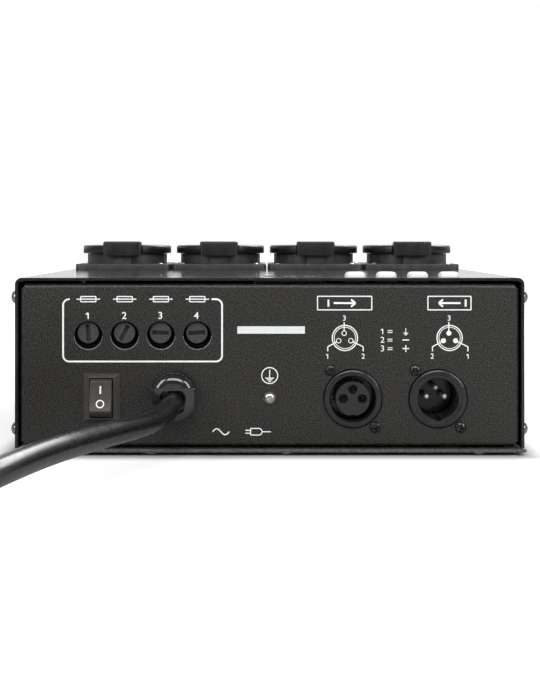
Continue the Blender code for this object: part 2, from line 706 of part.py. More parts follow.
def coil_points():
    """The coil in two layers: in to the middle of its length, then out again above."""
    centre = Vector((coil_centre[0], panel_y - coil_centre[1], 0))
    end = 2 * math.pi * coil_turns
    count = round(coil_turns * coil_loop_points)
    points = []
    for step in range(count + 1):
        turn = end * step / count
        inward = min(turn, end - turn) / (2 * math.pi)
        radius = coil_radius - coil_pitch * inward
        climb = (turn - end / 2 + math.pi / 2) / math.pi
        climb = min(1.0, max(0.0, climb))
        climb = climb * climb * (3 - 2 * climb)
        rise = min(1.0, max(0.0, (turn - end + 2.4) / 2.2))
        rise = rise * rise * (3 - 2 * rise)
        top = coil_low + coil_rise
        height = coil_low + coil_rise * climb + (plug_height - top) * rise
        angle = -math.pi / 2 - turn
        points.append(centre + Vector((radius * math.cos(angle), radius * math.sin(angle),
                                       height)))
    straight = 2 * cable_radius
    lead_in = points[0] + Vector((straight, 0, 0))
    return [lead_in] + points + [points[-1] + Vector((0, straight, 0))]


def tube(name, points, resolution):
    curve = bpy.data.curves.new(name, "CURVE")
    curve.dimensions = "3D"
    curve.bevel_depth = cable_radius
    curve.bevel_resolution = resolution
    curve.use_fill_caps = True
    line = curve.splines.new("POLY")
    line.points.add(len(points) - 1)
    for spot, point in zip(line.points, points):
        spot.co = (*point, 1)
    curve.materials.append(cable_rubber)
    piece = bpy.data.objects.new(name, curve)
    pack.objects.link(piece)
    return piece


def least_gap(points, skip):
    """The least distance between parts of the tube that aren't neighbours."""
    best = 1.0
    for first in range(len(points)):
        for second in range(first + skip, len(points)):
            best = min(best, (points[first] - points[second]).length)
    return best - 2 * cable_radius


def make_plug(end):
    """An earthed mains plug lying beside the coil, its cable end facing -Y."""
    holder = frame_at("plug_middle", end + Vector((0, fit_gap, 0)), (-math.radians(90), 0, 0))
    profile = ((0, 57), (17.6, 57), (18.6, 56), (18.6, 40), (17.8, 37), (12, 31), (9, 27),
               (6.2, 0), (0, 0))
    plug = turned("mains_plug", profile, holder, cable_rubber, 24)
    for side in (-1, 1):
        join(plug, rod_mesh("plug_pin_%d" % side, 2.4 * mm, 54 * mm, 76 * mm,
                            (side * contact_spacing / 2, 0), sides=small_sides), holder)
        cut(plug, box_mesh("plug_side_%d" % side, (-3.2 * mm, side * 19 * mm - 2.6 * mm, 41 * mm),
                           (3.2 * mm, side * 19 * mm + 2.6 * mm, 70 * mm)), holder)


def make_cable():
    route = [place_on_case(point) for point in cable_route]
    free = smooth_route(route, 3.5 * cable_radius)
    tube("mains_cable", free, 3)
    coil = coil_points()
    tube("mains_cable_coil", coil, 1)
    make_plug(coil[-1])
    print("coil's least gap to itself, mm: %.2f" % (1000 * least_gap(coil, coil_loop_points // 2)))


def make_switch_pack():
    cover = make_cover()
    rear_panel = make_tray("rear_panel", panel_y, 1)
    make_tray("front_panel", front_y - panel_recess, -1)
    make_base()
    make_cover_screws(cover, rear_panel)
    for number in range(1, 5):
        make_socket(number, cover)
        make_fuse(number, rear_panel)
    make_switch(rear_panel)
    make_gland(rear_panel)
    make_earth_screw(rear_panel)
    make_connector("output", output_place, rear_panel)
    make_connector("input", input_place, rear_panel)
    make_buttons(cover)
    make_display(cover)
    make_boards()
    make_cable()


make_switch_pack()
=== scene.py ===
import math

import bmesh
import bpy
from mathutils import Matrix, Vector


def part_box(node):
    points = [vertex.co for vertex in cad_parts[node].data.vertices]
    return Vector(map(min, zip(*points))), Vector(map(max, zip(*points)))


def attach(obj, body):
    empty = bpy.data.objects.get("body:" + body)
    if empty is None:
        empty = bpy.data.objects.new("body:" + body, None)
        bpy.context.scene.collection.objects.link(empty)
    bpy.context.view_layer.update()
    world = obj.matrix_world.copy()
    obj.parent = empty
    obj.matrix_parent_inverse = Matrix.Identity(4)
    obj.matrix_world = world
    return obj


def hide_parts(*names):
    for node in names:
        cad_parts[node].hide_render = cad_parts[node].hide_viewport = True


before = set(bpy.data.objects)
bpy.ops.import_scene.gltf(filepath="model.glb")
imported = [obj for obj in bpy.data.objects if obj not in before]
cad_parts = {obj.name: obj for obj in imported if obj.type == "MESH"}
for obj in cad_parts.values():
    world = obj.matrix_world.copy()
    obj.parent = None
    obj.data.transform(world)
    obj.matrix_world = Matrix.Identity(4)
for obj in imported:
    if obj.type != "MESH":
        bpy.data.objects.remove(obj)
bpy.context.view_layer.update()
print("frame loaded:", len(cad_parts), "nodes")

# Shapes are worked out in millimetres and scaled to metres when they are placed.
mm = 0.001
toMetres = Matrix.Scale(mm, 4)


def boxOf(node):
    low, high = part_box(node)
    return low / mm, high / mm


def middleOf(node):
    low, high = boxOf(node)
    return (low + high) / 2


def newObject(name, data):
    made = bpy.data.objects.new(name, data)
    bpy.context.scene.collection.objects.link(made)
    return made


def atPlace(place):
    return Matrix.Translation(Vector(place) * mm)


def turnBy(angle, axis):
    return Matrix.Rotation(math.radians(angle), 4, axis)


coverLow, coverHigh = boxOf("top_cover")
panelLow, panelHigh = boxOf("rear_panel")
rearY, frontY = coverLow.y, coverHigh.y
panelY = panelLow.y                  # the plane of the rear panel's face
print("case, mm:", [round(side, 1) for side in coverHigh - coverLow])


# Camera: level, near the case and a little above its lids

photoCamera = {
    "away": 500.0,
    "across": -4.9,
    "height": 91.4,
    "lens": 61.2,
    "frame": (540, 700),
    "level": (258, 238),             # the pixel that it looks straight along
}


def makeCamera(opts):
    wide, high = opts["frame"]
    made = bpy.data.cameras.new("photoCamera")
    made.lens = opts["lens"]
    made.shift_x = (wide / 2 - opts["level"][0]) / high
    made.shift_y = (opts["level"][1] - high / 2) / high
    made.clip_start = 0.01
    holder = newObject("photoCamera", made)
    holder.location = Vector((opts["across"], panelY - opts["away"], opts["height"])) * mm
    holder.rotation_euler = (math.radians(90), 0, 0)
    bpy.context.scene.camera = holder


makeCamera(photoCamera)


# Materials

def hexColour(code):
    parts = [int(code[at:at + 2], 16) / 255 for at in (1, 3, 5)]
    return [c / 12.92 if c <= 0.04045 else ((c + 0.055) / 1.055) ** 2.4 for c in parts] + [1.0]


def addNode(tree, kind, settings=None, links=None):
    node = tree.nodes.new("ShaderNode" + kind)
    for key, value in (settings or {}).items():
        if isinstance(key, int) or key in node.inputs:
            node.inputs[key].default_value = value
        else:
            setattr(node, key, value)
    for key, source in (links or {}).items():
        tree.links.new(source, node.inputs[key])
    return node


def makeSurface(name, **look):
    # The grain runs the colour and the gloss, and a finer skin stands up as relief.
    # Sizes and the relief's depth are in millimetres.
    made = bpy.data.materials.new(name)
    made.use_nodes = True
    tree = made.node_tree
    shader = tree.nodes["Principled BSDF"]
    shader.inputs["Metallic"].default_value = look.get("metal", 0.0)
    shader.inputs["Specular IOR Level"].default_value = look.get("specular", 0.5)
    place = addNode(tree, "TexCoord")
    along = addNode(tree, "Mapping", {"Scale": look.get("stretch", (1, 1, 1))},
        {"Vector": place.outputs["Object"]})
    grain = addNode(tree, "TexNoise", {"Scale": 1 / (look["grain"] * mm), "Roughness": 0.6,
        "Detail": look.get("detail", 3.0)}, {"Vector": along.outputs["Vector"]})
    skin = addNode(tree, "TexNoise", {"Scale": 1 / (look["skin"] * mm), "Detail": 2.0},
        {"Vector": along.outputs["Vector"]})
    low, high = look.get("contrast", (0.3, 0.7))
    share = addNode(tree, "MapRange", {"From Min": low, "From Max": high},
        {"Value": grain.outputs["Fac"]})
    colour = addNode(tree, "Mix", {"data_type": "RGBA", 6: hexColour(look["dark"]),
        7: hexColour(look["light"])}, {0: share.outputs[0]})
    gloss = addNode(tree, "MapRange", {"To Min": look["gloss"][0], "To Max": look["gloss"][1]},
        {"Value": share.outputs[0]})
    relief = addNode(tree, "Bump", {"Distance": look["depth"] * mm}, {"Height": skin.outputs["Fac"]})
    tree.links.new(colour.outputs[2], shader.inputs["Base Color"])
    tree.links.new(gloss.outputs[0], shader.inputs["Roughness"])
    tree.links.new(relief.outputs["Normal"], shader.inputs["Normal"])
    return made


def texturedPowderCoat():
    # polyester powder baked on steel: a sandy, dull black; the real 0.2 mm grit is drawn
    # at 0.6 mm, or it would not show
    return makeSurface("texturedPowderCoat", dark="#0a0a0a", light="#454340", contrast=(0.4, 0.7),
        grain=0.6, gloss=(0.3, 0.46), skin=0.65, depth=0.15, specular=0.45)


def glossyPowderCoat():
    # the same powder, thicker and flowed out: black with a soft shine and orange peel
    return makeSurface("glossyPowderCoat", dark="#161618", light="#303034", grain=0.8, detail=4.0,
        gloss=(0.07, 0.16), skin=0.9, depth=0.028)


def mouldedPolyamide():
    # polyamide 6 from a spark-eroded mould: satin black with faint clouding
    return makeSurface("mouldedPolyamide", dark="#111111", light="#1d1d1d", grain=7.0,
        gloss=(0.3, 0.42), skin=0.3, depth=0.008)


def filledPolyamide():
    # the socket bodies' polyamide: a greyer, cloudier copy of the lids' black
    return makeSurface("filledPolyamide", dark="#2b2b2a", light="#40403e", grain=5.0,
        gloss=(0.34, 0.46), skin=0.4, depth=0.012)


def mouldedThermoset():
    # phenolic fuse carrier: hard charcoal black with a fine, slightly chalky grain
    return makeSurface("mouldedThermoset", dark="#353536", light="#4d4d4e", grain=0.5,
        gloss=(0.38, 0.52), skin=0.3, depth=0.012)


def blackPhenolic():
    # phenolic of the fuse holders: glossy black, painted darker still than the other black plastics as
    # shade inside the panel's holes
    return makeSurface("blackPhenolic", dark="#040404", light="#090909", grain=1.0, gloss=(0.4, 0.5),
        skin=0.3, depth=0.01, specular=0.3)


def rubbedSteel():
    # painted highlight on the holes' punched edge: a thin grey metal arc on a black panel stands in for
    # the light that the edge catches
    return makeSurface("rubbedSteel", dark="#77767a", light="#a8a7a5", grain=1.5, gloss=(0.3, 0.4),
        skin=0.3, depth=0.01, specular=0.6)


def handledPowderCoat():
    # the base's textured powder, painted lighter all over: the lighter grey stands in for the highlight
    # along its lit front edge
    return makeSurface("handledPowderCoat", dark="#1c1b1a", light="#686560", contrast=(0.35, 0.65),
        grain=0.6, gloss=(0.26, 0.4), skin=0.65, depth=0.1, specular=0.6)


def switchNylon():
    # glass-filled nylon: smooth grey-black, faintly mottled
    return makeSurface("switchNylon", dark="#373431", light="#474441", grain=1.5, gloss=(0.34, 0.48),
        skin=0.3, depth=0.008)


def rockerPolycarbonate():
    # moulded polycarbonate: warm brownish grey, satin, with fine flow marks up its length
    return makeSurface("rockerPolycarbonate", dark="#3e3936", light="#4b4542", grain=0.6,
        stretch=(1, 1, 0.1), gloss=(0.35, 0.45), skin=0.4, depth=0.005, specular=0.4)


def polishedNylon():
    # nylon 66 bushing: deep glossy black with slow ripples that break its highlights
    return makeSurface("polishedNylon", dark="#0b0b0b", light="#161616", grain=3.0, gloss=(0.08, 0.15),
        skin=2.5, depth=0.015, specular=1.0)


def rubberSheath():
    # extruded chloroprene sheath: soft shine, with faint rubbed stretches
    return makeSurface("rubberSheath", dark="#0b0b0d", light="#131316", grain=8.0, gloss=(0.25, 0.31),
        skin=2.0, depth=0.004, specular=0.7)


def connectorNylon():
    # black connector shell: low sheen, a finer skin than the sockets
    return makeSurface("connectorNylon", dark="#161616", light="#202020", grain=2.5, gloss=(0.2, 0.3),
        skin=0.25, depth=0.005, specular=0.65)


def pressedThermoset():
    # the disc that carries the pins: glossy and all but black, with slow ripples; its black is darkened
    # further as painted shade deep in the male connector's recess
    return makeSurface("pressedThermoset", dark="#050505", light="#0b0b0b", grain=3.0,
        gloss=(0.12, 0.2), skin=2.5, depth=0.03, specular=0.4)


def blackenedSteel():
    # black zinc on a rolled screw: dark metal, brighter where the driver has worn it
    return makeSurface("blackenedSteel", dark="#151515", light="#6f6b67", contrast=(0.45, 0.7),
        grain=0.7, gloss=(0.2, 0.36), skin=0.4, depth=0.012, metal=0.8)


def nickelPlate():
    # nickel on steel: warm bright metal, dulled in patches by handling
    return makeSurface("nickelPlate", dark="#aba69f", light="#dad6cf", grain=1.2, gloss=(0.1, 0.22),
        skin=0.3, depth=0.004, metal=1.0)


def silveredBrass():
    # silvered contact pins: pale and satin, so that their ends catch light from all round
    return makeSurface("silveredBrass", dark="#e9e7e2", light="#f7f5f0", grain=0.8, gloss=(0.42, 0.5),
        skin=0.3, depth=0.004, metal=0.8)


def zincPlate():
    # bright zinc on a pressed screw: grey metal with darker patches of handling
    return makeSurface("zincPlate", dark="#6d6a66", light="#c2beb8", contrast=(0.4, 0.62), grain=0.9,
        gloss=(0.1, 0.24), skin=0.4, depth=0.01, metal=1.0)


def drawnSteel():
    # drawn wire: clean grey metal with lines along its length
    return makeSurface("drawnSteel", dark="#85868a", light="#b0b1b5", grain=0.25, stretch=(0.05, 1, 1),
        gloss=(0.22, 0.34), skin=0.25, depth=0.004, metal=1.0)


def whiteAbs():
    # white ABS keys: bright and satin, very slightly mottled
    return makeSurface("whiteAbs", dark="#f0f0ed", light="#f9f9f7", grain=1.5, gloss=(0.28, 0.36),
        skin=0.4, depth=0.004)


def screenInk():
    # white screen ink: flat white, greyer where it sinks between the grit of the coat
    return makeSurface("screenInk", dark="#d2d2cf", light="#fbfbf9", contrast=(0.2, 0.4), grain=0.5,
        detail=4.0, gloss=(0.5, 0.6), skin=0.55, depth=0.02, specular=0.3)


def labelPaper():
    # coated white label paper: even, faintly fibrous, low sheen
    return makeSurface("labelPaper", dark="#e0e4e6", light="#ebeff0", grain=0.8, gloss=(0.4, 0.5),
        skin=0.5, depth=0.004, specular=0.4)


def redAcrylic():
    # smoked red display window: all but black under a clear gloss
    return makeSurface("redAcrylic", dark="#0d0203", light="#150304", grain=5.0, gloss=(0.05, 0.1),
        skin=3.0, depth=0.004)


def frostedSegment():
    # bars of a display that is off: dull, a little lighter than its window
    return makeSurface("frostedSegment", dark="#2a1211", light="#351817", grain=0.5, gloss=(0.45, 0.55),
        skin=0.3, depth=0.004)


def solderMask():
    # glass-epoxy board under green lacquer: copper tracks show as lighter lines
    opts = {"pitch": 5.0, "dark": "#0f3a20", "light": "#1c6b3a"}
    made = makeSurface("solderMask", dark=opts["dark"], light="#15492a", grain=3.0, gloss=(0.25, 0.35),
        skin=0.5, depth=0.01)
    tree = made.node_tree
    shader = tree.nodes["Principled BSDF"]
    mask = shader.inputs["Base Color"].links[0].from_socket
    place = addNode(tree, "TexCoord")
    tracks = addNode(tree, "TexBrick", {"Scale": 1 / (opts["pitch"] * mm), "Mortar Size": 0.05,
        "Brick Width": 2.0, "Row Height": 0.5, "Mortar": hexColour(opts["light"])},
        {"Vector": place.outputs["Object"], "Color1": mask, "Color2": mask})
    tree.links.new(tracks.outputs["Color"], shader.inputs["Base Color"])
    return made


def relayCan():
    # blue polyester can: smooth and semi-gloss
    return makeSurface("relayCan", dark="#123070", light="#1a3f8c", grain=3.0, gloss=(0.26, 0.36),
        skin=0.4, depth=0.005)


def laminatedIron():
    # stacked, varnished iron sheets: fine lines across the stack, drawn 0.5 mm apart
    return makeSurface("laminatedIron", dark="#4b4a48", light="#7c7a76", contrast=(0.42, 0.58),
        grain=0.5, stretch=(0.02, 1, 0.02), gloss=(0.4, 0.5), skin=0.5, depth=0.05, metal=0.7)


def terminalPolyamide():
    # green polyamide terminals: satin, slightly uneven in colour
    return makeSurface("terminalPolyamide", dark="#1d7a3c", light="#289349", grain=2.0,
        gloss=(0.35, 0.45), skin=0.4, depth=0.006)


def sodaGlass():
    # drawn soda glass: clear, a trace of green, faint lines along the draw
    made = makeSurface("sodaGlass", dark="#e6f0ea", light="#f4faf6", grain=2.0, stretch=(1, 0.1, 1),
        gloss=(0.02, 0.05), skin=0.8, depth=0.003)
    shader = made.node_tree.nodes["Principled BSDF"]
    shader.inputs["Transmission Weight"].default_value = 1.0
    return made


def mouldedRubber():
    # nitrile rubber feet: dull black, a little dusty
    return makeSurface("mouldedRubber", dark="#151515", light="#262625", grain=0.9, gloss=(0.7, 0.85),
        skin=0.5, depth=0.02, specular=0.3)


# each finish is a material and the record's slot that it stands for
coat = (texturedPowderCoat(), "case_powder_coat")
coverCoat = (glossyPowderCoat(), "case_powder_coat")
# painted highlight: the base plate's lighter coat stands in for light on its front edge
baseCoat = (handledPowderCoat(), "case_powder_coat")
# painted highlight: grey metal arcs under the fuse holes stand in for light on their edges
holeHighlight = (rubbedSteel(), "case_powder_coat")
polyamide = (mouldedPolyamide(), "socket_plastic")
greyPolyamide = (filledPolyamide(), "socket_plastic")
thermoset = (mouldedThermoset(), "fuse_plastic")
# painted shade: the fuse holders' black is deepened to stand in for shade in the holes
shadedHolderPlastic = (blackPhenolic(), "fuse_plastic")
nylon = (switchNylon(), "switch_plastic")
rockerPlastic = (rockerPolycarbonate(), "rocker_plastic")
bushingNylon = (polishedNylon(), "gland_nylon")
sheath = (rubberSheath(), "cable_rubber")
shellPlastic = (connectorNylon(), "connector_plastic")
# painted shade: a darker copy of the connector plastic for the male insert deep in its recess
shadedInsertPlastic = (pressedThermoset(), "connector_plastic")
blackScrew = (blackenedSteel(), "screw_nickel")
nickel = (nickelPlate(), "screw_nickel")
zinc = (zincPlate(), "screw_nickel")
silver = (silveredBrass(), "screw_nickel")
steel = (drawnSteel(), "hinge_pin_steel")
whitePlastic = (whiteAbs(), "button_white")
ink = (screenInk(), "button_white")
paper = (labelPaper(), "button_white")
lens = (redAcrylic(), "display_lens")
segmentPlastic = (frostedSegment(), "display_lens")
glass = (sodaGlass(), "fuse_glass")
rubber = (mouldedRubber(), "foot_rubber")
print("materials made:", len(bpy.data.materials))


# Basic shapes and tools

mergeWithin = 0.0005                 # points this near to each other become one
cornerAngle = math.radians(38)       # faces that meet more sharply keep a corner


def block(low, high, shape=None):
    shape = shape or bmesh.new()
    made = bmesh.ops.create_cube(shape, size=1)["verts"]
    bmesh.ops.scale(shape, vec=[b - a for a, b in zip(low, high)], verts=made)
    bmesh.ops.translate(shape, vec=[(a + b) / 2 for a, b in zip(low, high)], verts=made)
    return shape


def rod(radius, low, high, at=(0, 0), sides=48, shape=None):
    shape = shape or bmesh.new()
    made = bmesh.ops.create_cone(shape, cap_ends=True, segments=sides, radius1=radius, radius2=radius,
        depth=high - low)["verts"]
    bmesh.ops.translate(shape, vec=(at[0], at[1], (low + high) / 2), verts=made)
    return shape


def addTo(shape, other):
    # puts the other shape's bodies beside this one's
    mesh = bpy.data.meshes.new("carried")
    other.to_mesh(mesh)
    other.free()
    shape.from_mesh(mesh)
    bpy.data.meshes.remove(mesh)
    return shape


def lathe(profile, sides=64, at=(0, 0, 0), shape=None, closed=False):
    # spins (radius, height) points about Z: they start and end on the axis, or close a ring
    part = bmesh.new()
    points = [part.verts.new((radius, 0, height)) for radius, height in profile]
    pairs = list(zip(points, points[1:]))
    if closed:
        pairs.append((points[-1], points[0]))
    lines = [part.edges.new(pair) for pair in pairs]
    bmesh.ops.spin(part, geom=points + lines, cent=(0, 0, 0), axis=(0, 0, 1), angle=math.tau,
        steps=sides, use_merge=True)
    bmesh.ops.remove_doubles(part, verts=part.verts, dist=mergeWithin)
    bmesh.ops.recalc_face_normals(part, faces=part.faces)
    bmesh.ops.translate(part, vec=at, verts=part.verts)
    return part if shape is None else addTo(shape, part)


def prism(outline, half):
    # an outline of (y, z) places, standing out along X by the half width to both sides
    shape = bmesh.new()
    face = shape.faces.new([shape.verts.new((y, z, -half)) for y, z in outline])
    made = bmesh.ops.extrude_face_region(shape, geom=[face])["geom"]
    moved = [part for part in made if isinstance(part, bmesh.types.BMVert)]
    bmesh.ops.translate(shape, vec=(0, 0, 2 * half), verts=moved)
    bmesh.ops.recalc_face_normals(shape, faces=shape.faces)
    shape.transform(Matrix(((0, 0, 1), (1, 0, 0), (0, 1, 0))).to_4x4())
    return shape


def rimAbove(height):
    # picks the level edges above this height
    return lambda spot, way: spot.z > height and abs(way.z) < 0.1


def bevelled(shape, width, segments, chosen):
    # rounds each edge for which chosen(its middle, its direction) is true
    edges = []
    for edge in shape.edges:
        a, b = edge.verts[0].co, edge.verts[1].co
        if chosen((a + b) / 2, (b - a).normalized()):
            edges.append(edge)
    bmesh.ops.bevel(shape, geom=edges, offset=width, segments=segments, affect="EDGES", profile=0.5,
        material=-1)
    return shape


def slab(low, high, corner, segments=6, rim=0.0, rimSegments=3):
    # a block with round upright edges, and a round upper rim where one is asked for
    shape = bevelled(block(low, high), corner, segments, lambda spot, way: abs(way.z) > 0.9)
    if rim:
        bevelled(shape, rim, rimSegments, rimAbove(high[2] - 1e-4))
    return shape


def turnedShape(shape, angle, axis):
    bmesh.ops.rotate(shape, cent=(0, 0, 0), verts=shape.verts,
        matrix=Matrix.Rotation(math.radians(angle), 3, axis))
    return shape


def movedShape(shape, by):
    bmesh.ops.translate(shape, vec=by, verts=shape.verts)
    return shape


def combined(shape, other, operation):
    # one boolean of two shapes, which are used up
    holders = []
    for part in (shape, other):
        mesh = bpy.data.meshes.new("work")
        part.to_mesh(mesh)
        part.free()
        holders.append(newObject("work", mesh))
    step = holders[0].modifiers.new("step", "BOOLEAN")
    step.operation = operation
    step.object = holders[1]
    step.solver = "EXACT"
    result = bmesh.new()
    result.from_object(holders[0], bpy.context.evaluated_depsgraph_get())
    for holder in holders:
        mesh = holder.data
        bpy.data.objects.remove(holder)
        bpy.data.meshes.remove(mesh)
    return result


def less(shape, *others):
    for other in others:
        shape = combined(shape, other, "DIFFERENCE")
    return shape


def plus(shape, *others):
    for other in others:
        shape = combined(shape, other, "UNION")
    return shape


def finished(name, shape, finish, at=None, body="case", stands=(), edge=0.0, segments=2):
    # makes a shape a piece: in place, smooth but for its corners, riding on its body
    mesh = bpy.data.meshes.new(name)
    shape.to_mesh(mesh)
    shape.free()
    mesh.transform((at or Matrix.Identity(4)) @ toMetres)
    mesh.shade_smooth()
    mesh.set_sharp_from_angle(angle=cornerAngle)
    mesh.materials.append(finish[0])
    piece = newObject(name, mesh)
    if edge:
        soft = piece.modifiers.new("softEdges", "BEVEL")
        soft.width = edge * mm
        soft.segments = segments
        soft.limit_method = "ANGLE"
        soft.angle_limit = cornerAngle
        soft.harden_normals = True
    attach(piece, body)
    if stands:
        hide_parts(*stands)
    return piece


def onPanel(x, z):
    # on the rear panel: local Z points out of it, and local Y up
    return atPlace((x, panelY, z)) @ turnBy(90, "X")


# Mains cable: its route, coil and plug

cable = {
    "radius": 4.6,
    # across, out from the rear panel, up
    "route": ((-39.9, 2.3, 23.1), (-40.2, 11.0, 23.0), (-47.0, 30.0, 18.9), (-62.4, 65.0, 18.9),
              (-73.7, 105.0, 20.6), (-83.0, 140.0, 20.8), (-90.7, 157.4, 18.6),
              (-103.7, 171.4, 13.6), (-120.4, 180.5, 8.0), (-139.2, 183.6, 4.8),
              (-148.5, 183.6, 4.8)),
    "coilMiddle": (-158.0, 123.6),   # across, out from the rear panel
    "coilRadius": 60.0,
    "turns": 4.25,
    "pitch": 9.8,                    # sideways for each turn, and up for the second layer
    "low": 4.8,
    "loopPoints": 60,
    "plugHeight": 18.8,
}


def smoothRoute(points, spacing):
    # straight at both ends, and evenly spaced on a smooth curve between them
    inner = points[1:-1]
    start = (points[1] - points[0]).normalized() * 2 * (inner[1] - inner[0]).length
    finish = (points[-1] - points[-2]).normalized() * 2 * (inner[-1] - inner[-2]).length
    rows = [inner[1] - start] + inner + [inner[-2] + finish]
    fine = []
    for a, b, c, d in zip(rows, rows[1:], rows[2:], rows[3:]):
        for step in range(20):
            t = step / 20
            fine.append(0.5 * (2 * b + (c - a) * t + (2 * a - 5 * b + 4 * c - d) * t * t
                + (3 * b - a - 3 * c + d) * t ** 3))
    fine.append(inner[-1])
    lengths = [0.0]
    for first, second in zip(fine, fine[1:]):
        lengths.append(lengths[-1] + (second - first).length)
    count = max(2, round(lengths[-1] / spacing))
    result, index = [points[0]], 0
    for step in range(count + 1):
        target = lengths[-1] * step / count
        while index < len(lengths) - 2 and lengths[index + 1] < target:
            index += 1
        share = (target - lengths[index]) / (lengths[index + 1] - lengths[index])
        result.append(fine[index].lerp(fine[index + 1], share))
    return result + [points[-1]]


def eased(share):
    share = min(1.0, max(0.0, share))
    return share * share * (3 - 2 * share)


def coilPoints(opts):
    # two layers: in to the middle of its length, then out again on top
    middle = Vector((opts["coilMiddle"][0], panelY - opts["coilMiddle"][1], 0))
    end = math.tau * opts["turns"]
    count = round(opts["turns"] * opts["loopPoints"])
    second = opts["low"] + opts["pitch"]
    points = []
    for step in range(count + 1):
        turn = end * step / count
        radius = opts["coilRadius"] - opts["pitch"] * min(turn, end - turn) / math.tau
        height = opts["low"] + opts["pitch"] * eased((turn - end / 2 + math.pi / 2) / math.pi)
        height += (opts["plugHeight"] - second) * eased((turn - end + 2.4) / 2.2)
        angle = -math.pi / 2 - turn
        points.append(middle + Vector((radius * math.cos(angle), radius * math.sin(angle), height)))
    straight = 2 * opts["radius"]
    return [points[0] + Vector((straight, 0, 0)), *points, points[-1] + Vector((0, straight, 0))]


plug = {
    "gap": 0.3,                      # from the cord's last point to the plug's end
    "ribs": 7,
    "pins": 9.5,
    "pinSide": ((0, 76), (1.3, 75.8), (2.1, 75.2), (2.4, 74.2), (2.4, 56.5), (0, 56.5)),
    # half sizes of the cuts in its sides, and how far out they sit
    "recess": (3.2, 2.6),
    "recessOut": 19,
    "groove": (1.6, 2.3),
    "grooveOut": 18.2,
    "grip": (4.2, 1.5),
    "gripOut": 17.4,
    "gripAcross": 8.6,
    "gripHeights": (41.5, 44.1, 46.7, 49.3, 51.9),
}


def plugProfile(opts):
    # neck ribs that shrink towards the cable, then the cone and the round head
    profile = [(0, 0), (5.8, 0), (6.1, 0.4)]
    for rib in range(opts["ribs"]):
        low, wide = 1.8 + 3.6 * rib, 6.4 + 0.37 * rib
        profile += [(wide - 1.2, low), (wide - 1.2, low + 1.0), (wide, low + 1.3), (wide, low + 3.2)]
    return profile + [(9.4, 27.6), (10.6, 29.6), (12.4, 31.5), (17.2, 36.4), (18.3, 38.6), (18.6, 40.5),
        (18.6, 56), (17.9, 56.7), (16.9, 57), (0, 57)]


def makePlug(end, opts):
    at = atPlace(end + Vector((0, opts["gap"], 0))) @ turnBy(-90, "X")
    body = lathe(plugProfile(opts))
    pins, strips = bmesh.new(), bmesh.new()
    for side in (-1, 1):
        # a recess for the earth strip, a guide groove, and grip lines beside it
        wide, deep = opts["recess"]
        out = side * opts["recessOut"]
        body = less(body, slab((-wide, out - deep, 41), (wide, out + deep, 70), 0.8, 3))
        deep, wide = opts["groove"]
        out = side * opts["grooveOut"]
        body = less(body, slab((out - deep, -wide, 46), (out + deep, wide, 70), 0.7, 3))
        wide, deep = opts["grip"]
        out = side * opts["gripOut"]
        for low in opts["gripHeights"]:
            for x in (-opts["gripAcross"], opts["gripAcross"]):
                line = block((x - wide, out - deep, low), (x + wide, out + deep, low + 1.1))
                body = less(body, line)
        lathe(opts["pinSide"], 32, (side * opts["pins"], 0, 0), pins)
        block((-1.9, side * 16.9 - 0.5, 43), (1.9, side * 16.9 + 0.3, 57.3), strips)
    return [finished("mainsPlugBody", body, sheath, at, stands=["mains_plug"], edge=0.2),
        finished("mainsPlugPins", pins, nickel, at),
        finished("mainsPlugEarthStrips", strips, nickel, at, edge=0.2)]


def makeCable(opts):
    places = [Vector((x, panelY - out, z)) for x, out, z in opts["route"]]
    coil = coilPoints(opts)
    points = [point * mm for point in smoothRoute(places, 1.5 * opts["radius"])[:-1] + coil]
    drawn = bpy.data.curves.new("mainsCord", "CURVE")
    drawn.dimensions = "3D"
    drawn.bevel_depth = opts["radius"] * mm
    drawn.bevel_resolution = 6
    drawn.use_fill_caps = True
    line = drawn.splines.new("POLY")
    line.points.add(len(points) - 1)
    for spot, point in zip(line.points, points):
        spot.co = (*point, 1)
    line.use_smooth = True
    drawn.materials.append(sheath[0])
    cord = newObject("mainsCord", drawn)
    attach(cord, "case")
    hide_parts("mains_cable", "mains_cable_coil")
    length = sum((b - a).length for a, b in zip(points, points[1:]))
    print("cord length, m: %.3f" % length)
    return cord, points[0], length, makePlug(coil[-1], plug)


mainsCord, cordExit, cordLength, plugPieces = makeCable(cable)


# Cable bushing: an arched clamp half over a flat-sided half, round the cable's mouth

gland = {"place": (-40.1, 25.4), "radius": 10.1, "flat": 8.95, "proud": 9.0, "seam": 4.1, "rim": 4.2,
    "mouthLow": -7.0, "mouthHigh": 2.9, "mouthHalf": 5.4, "barrel": 7.4,
    "lowerBack": 0.3, "lowerRim": 1.2, "mouthTopRound": 2.6, "mouthFootRound": 4.2}


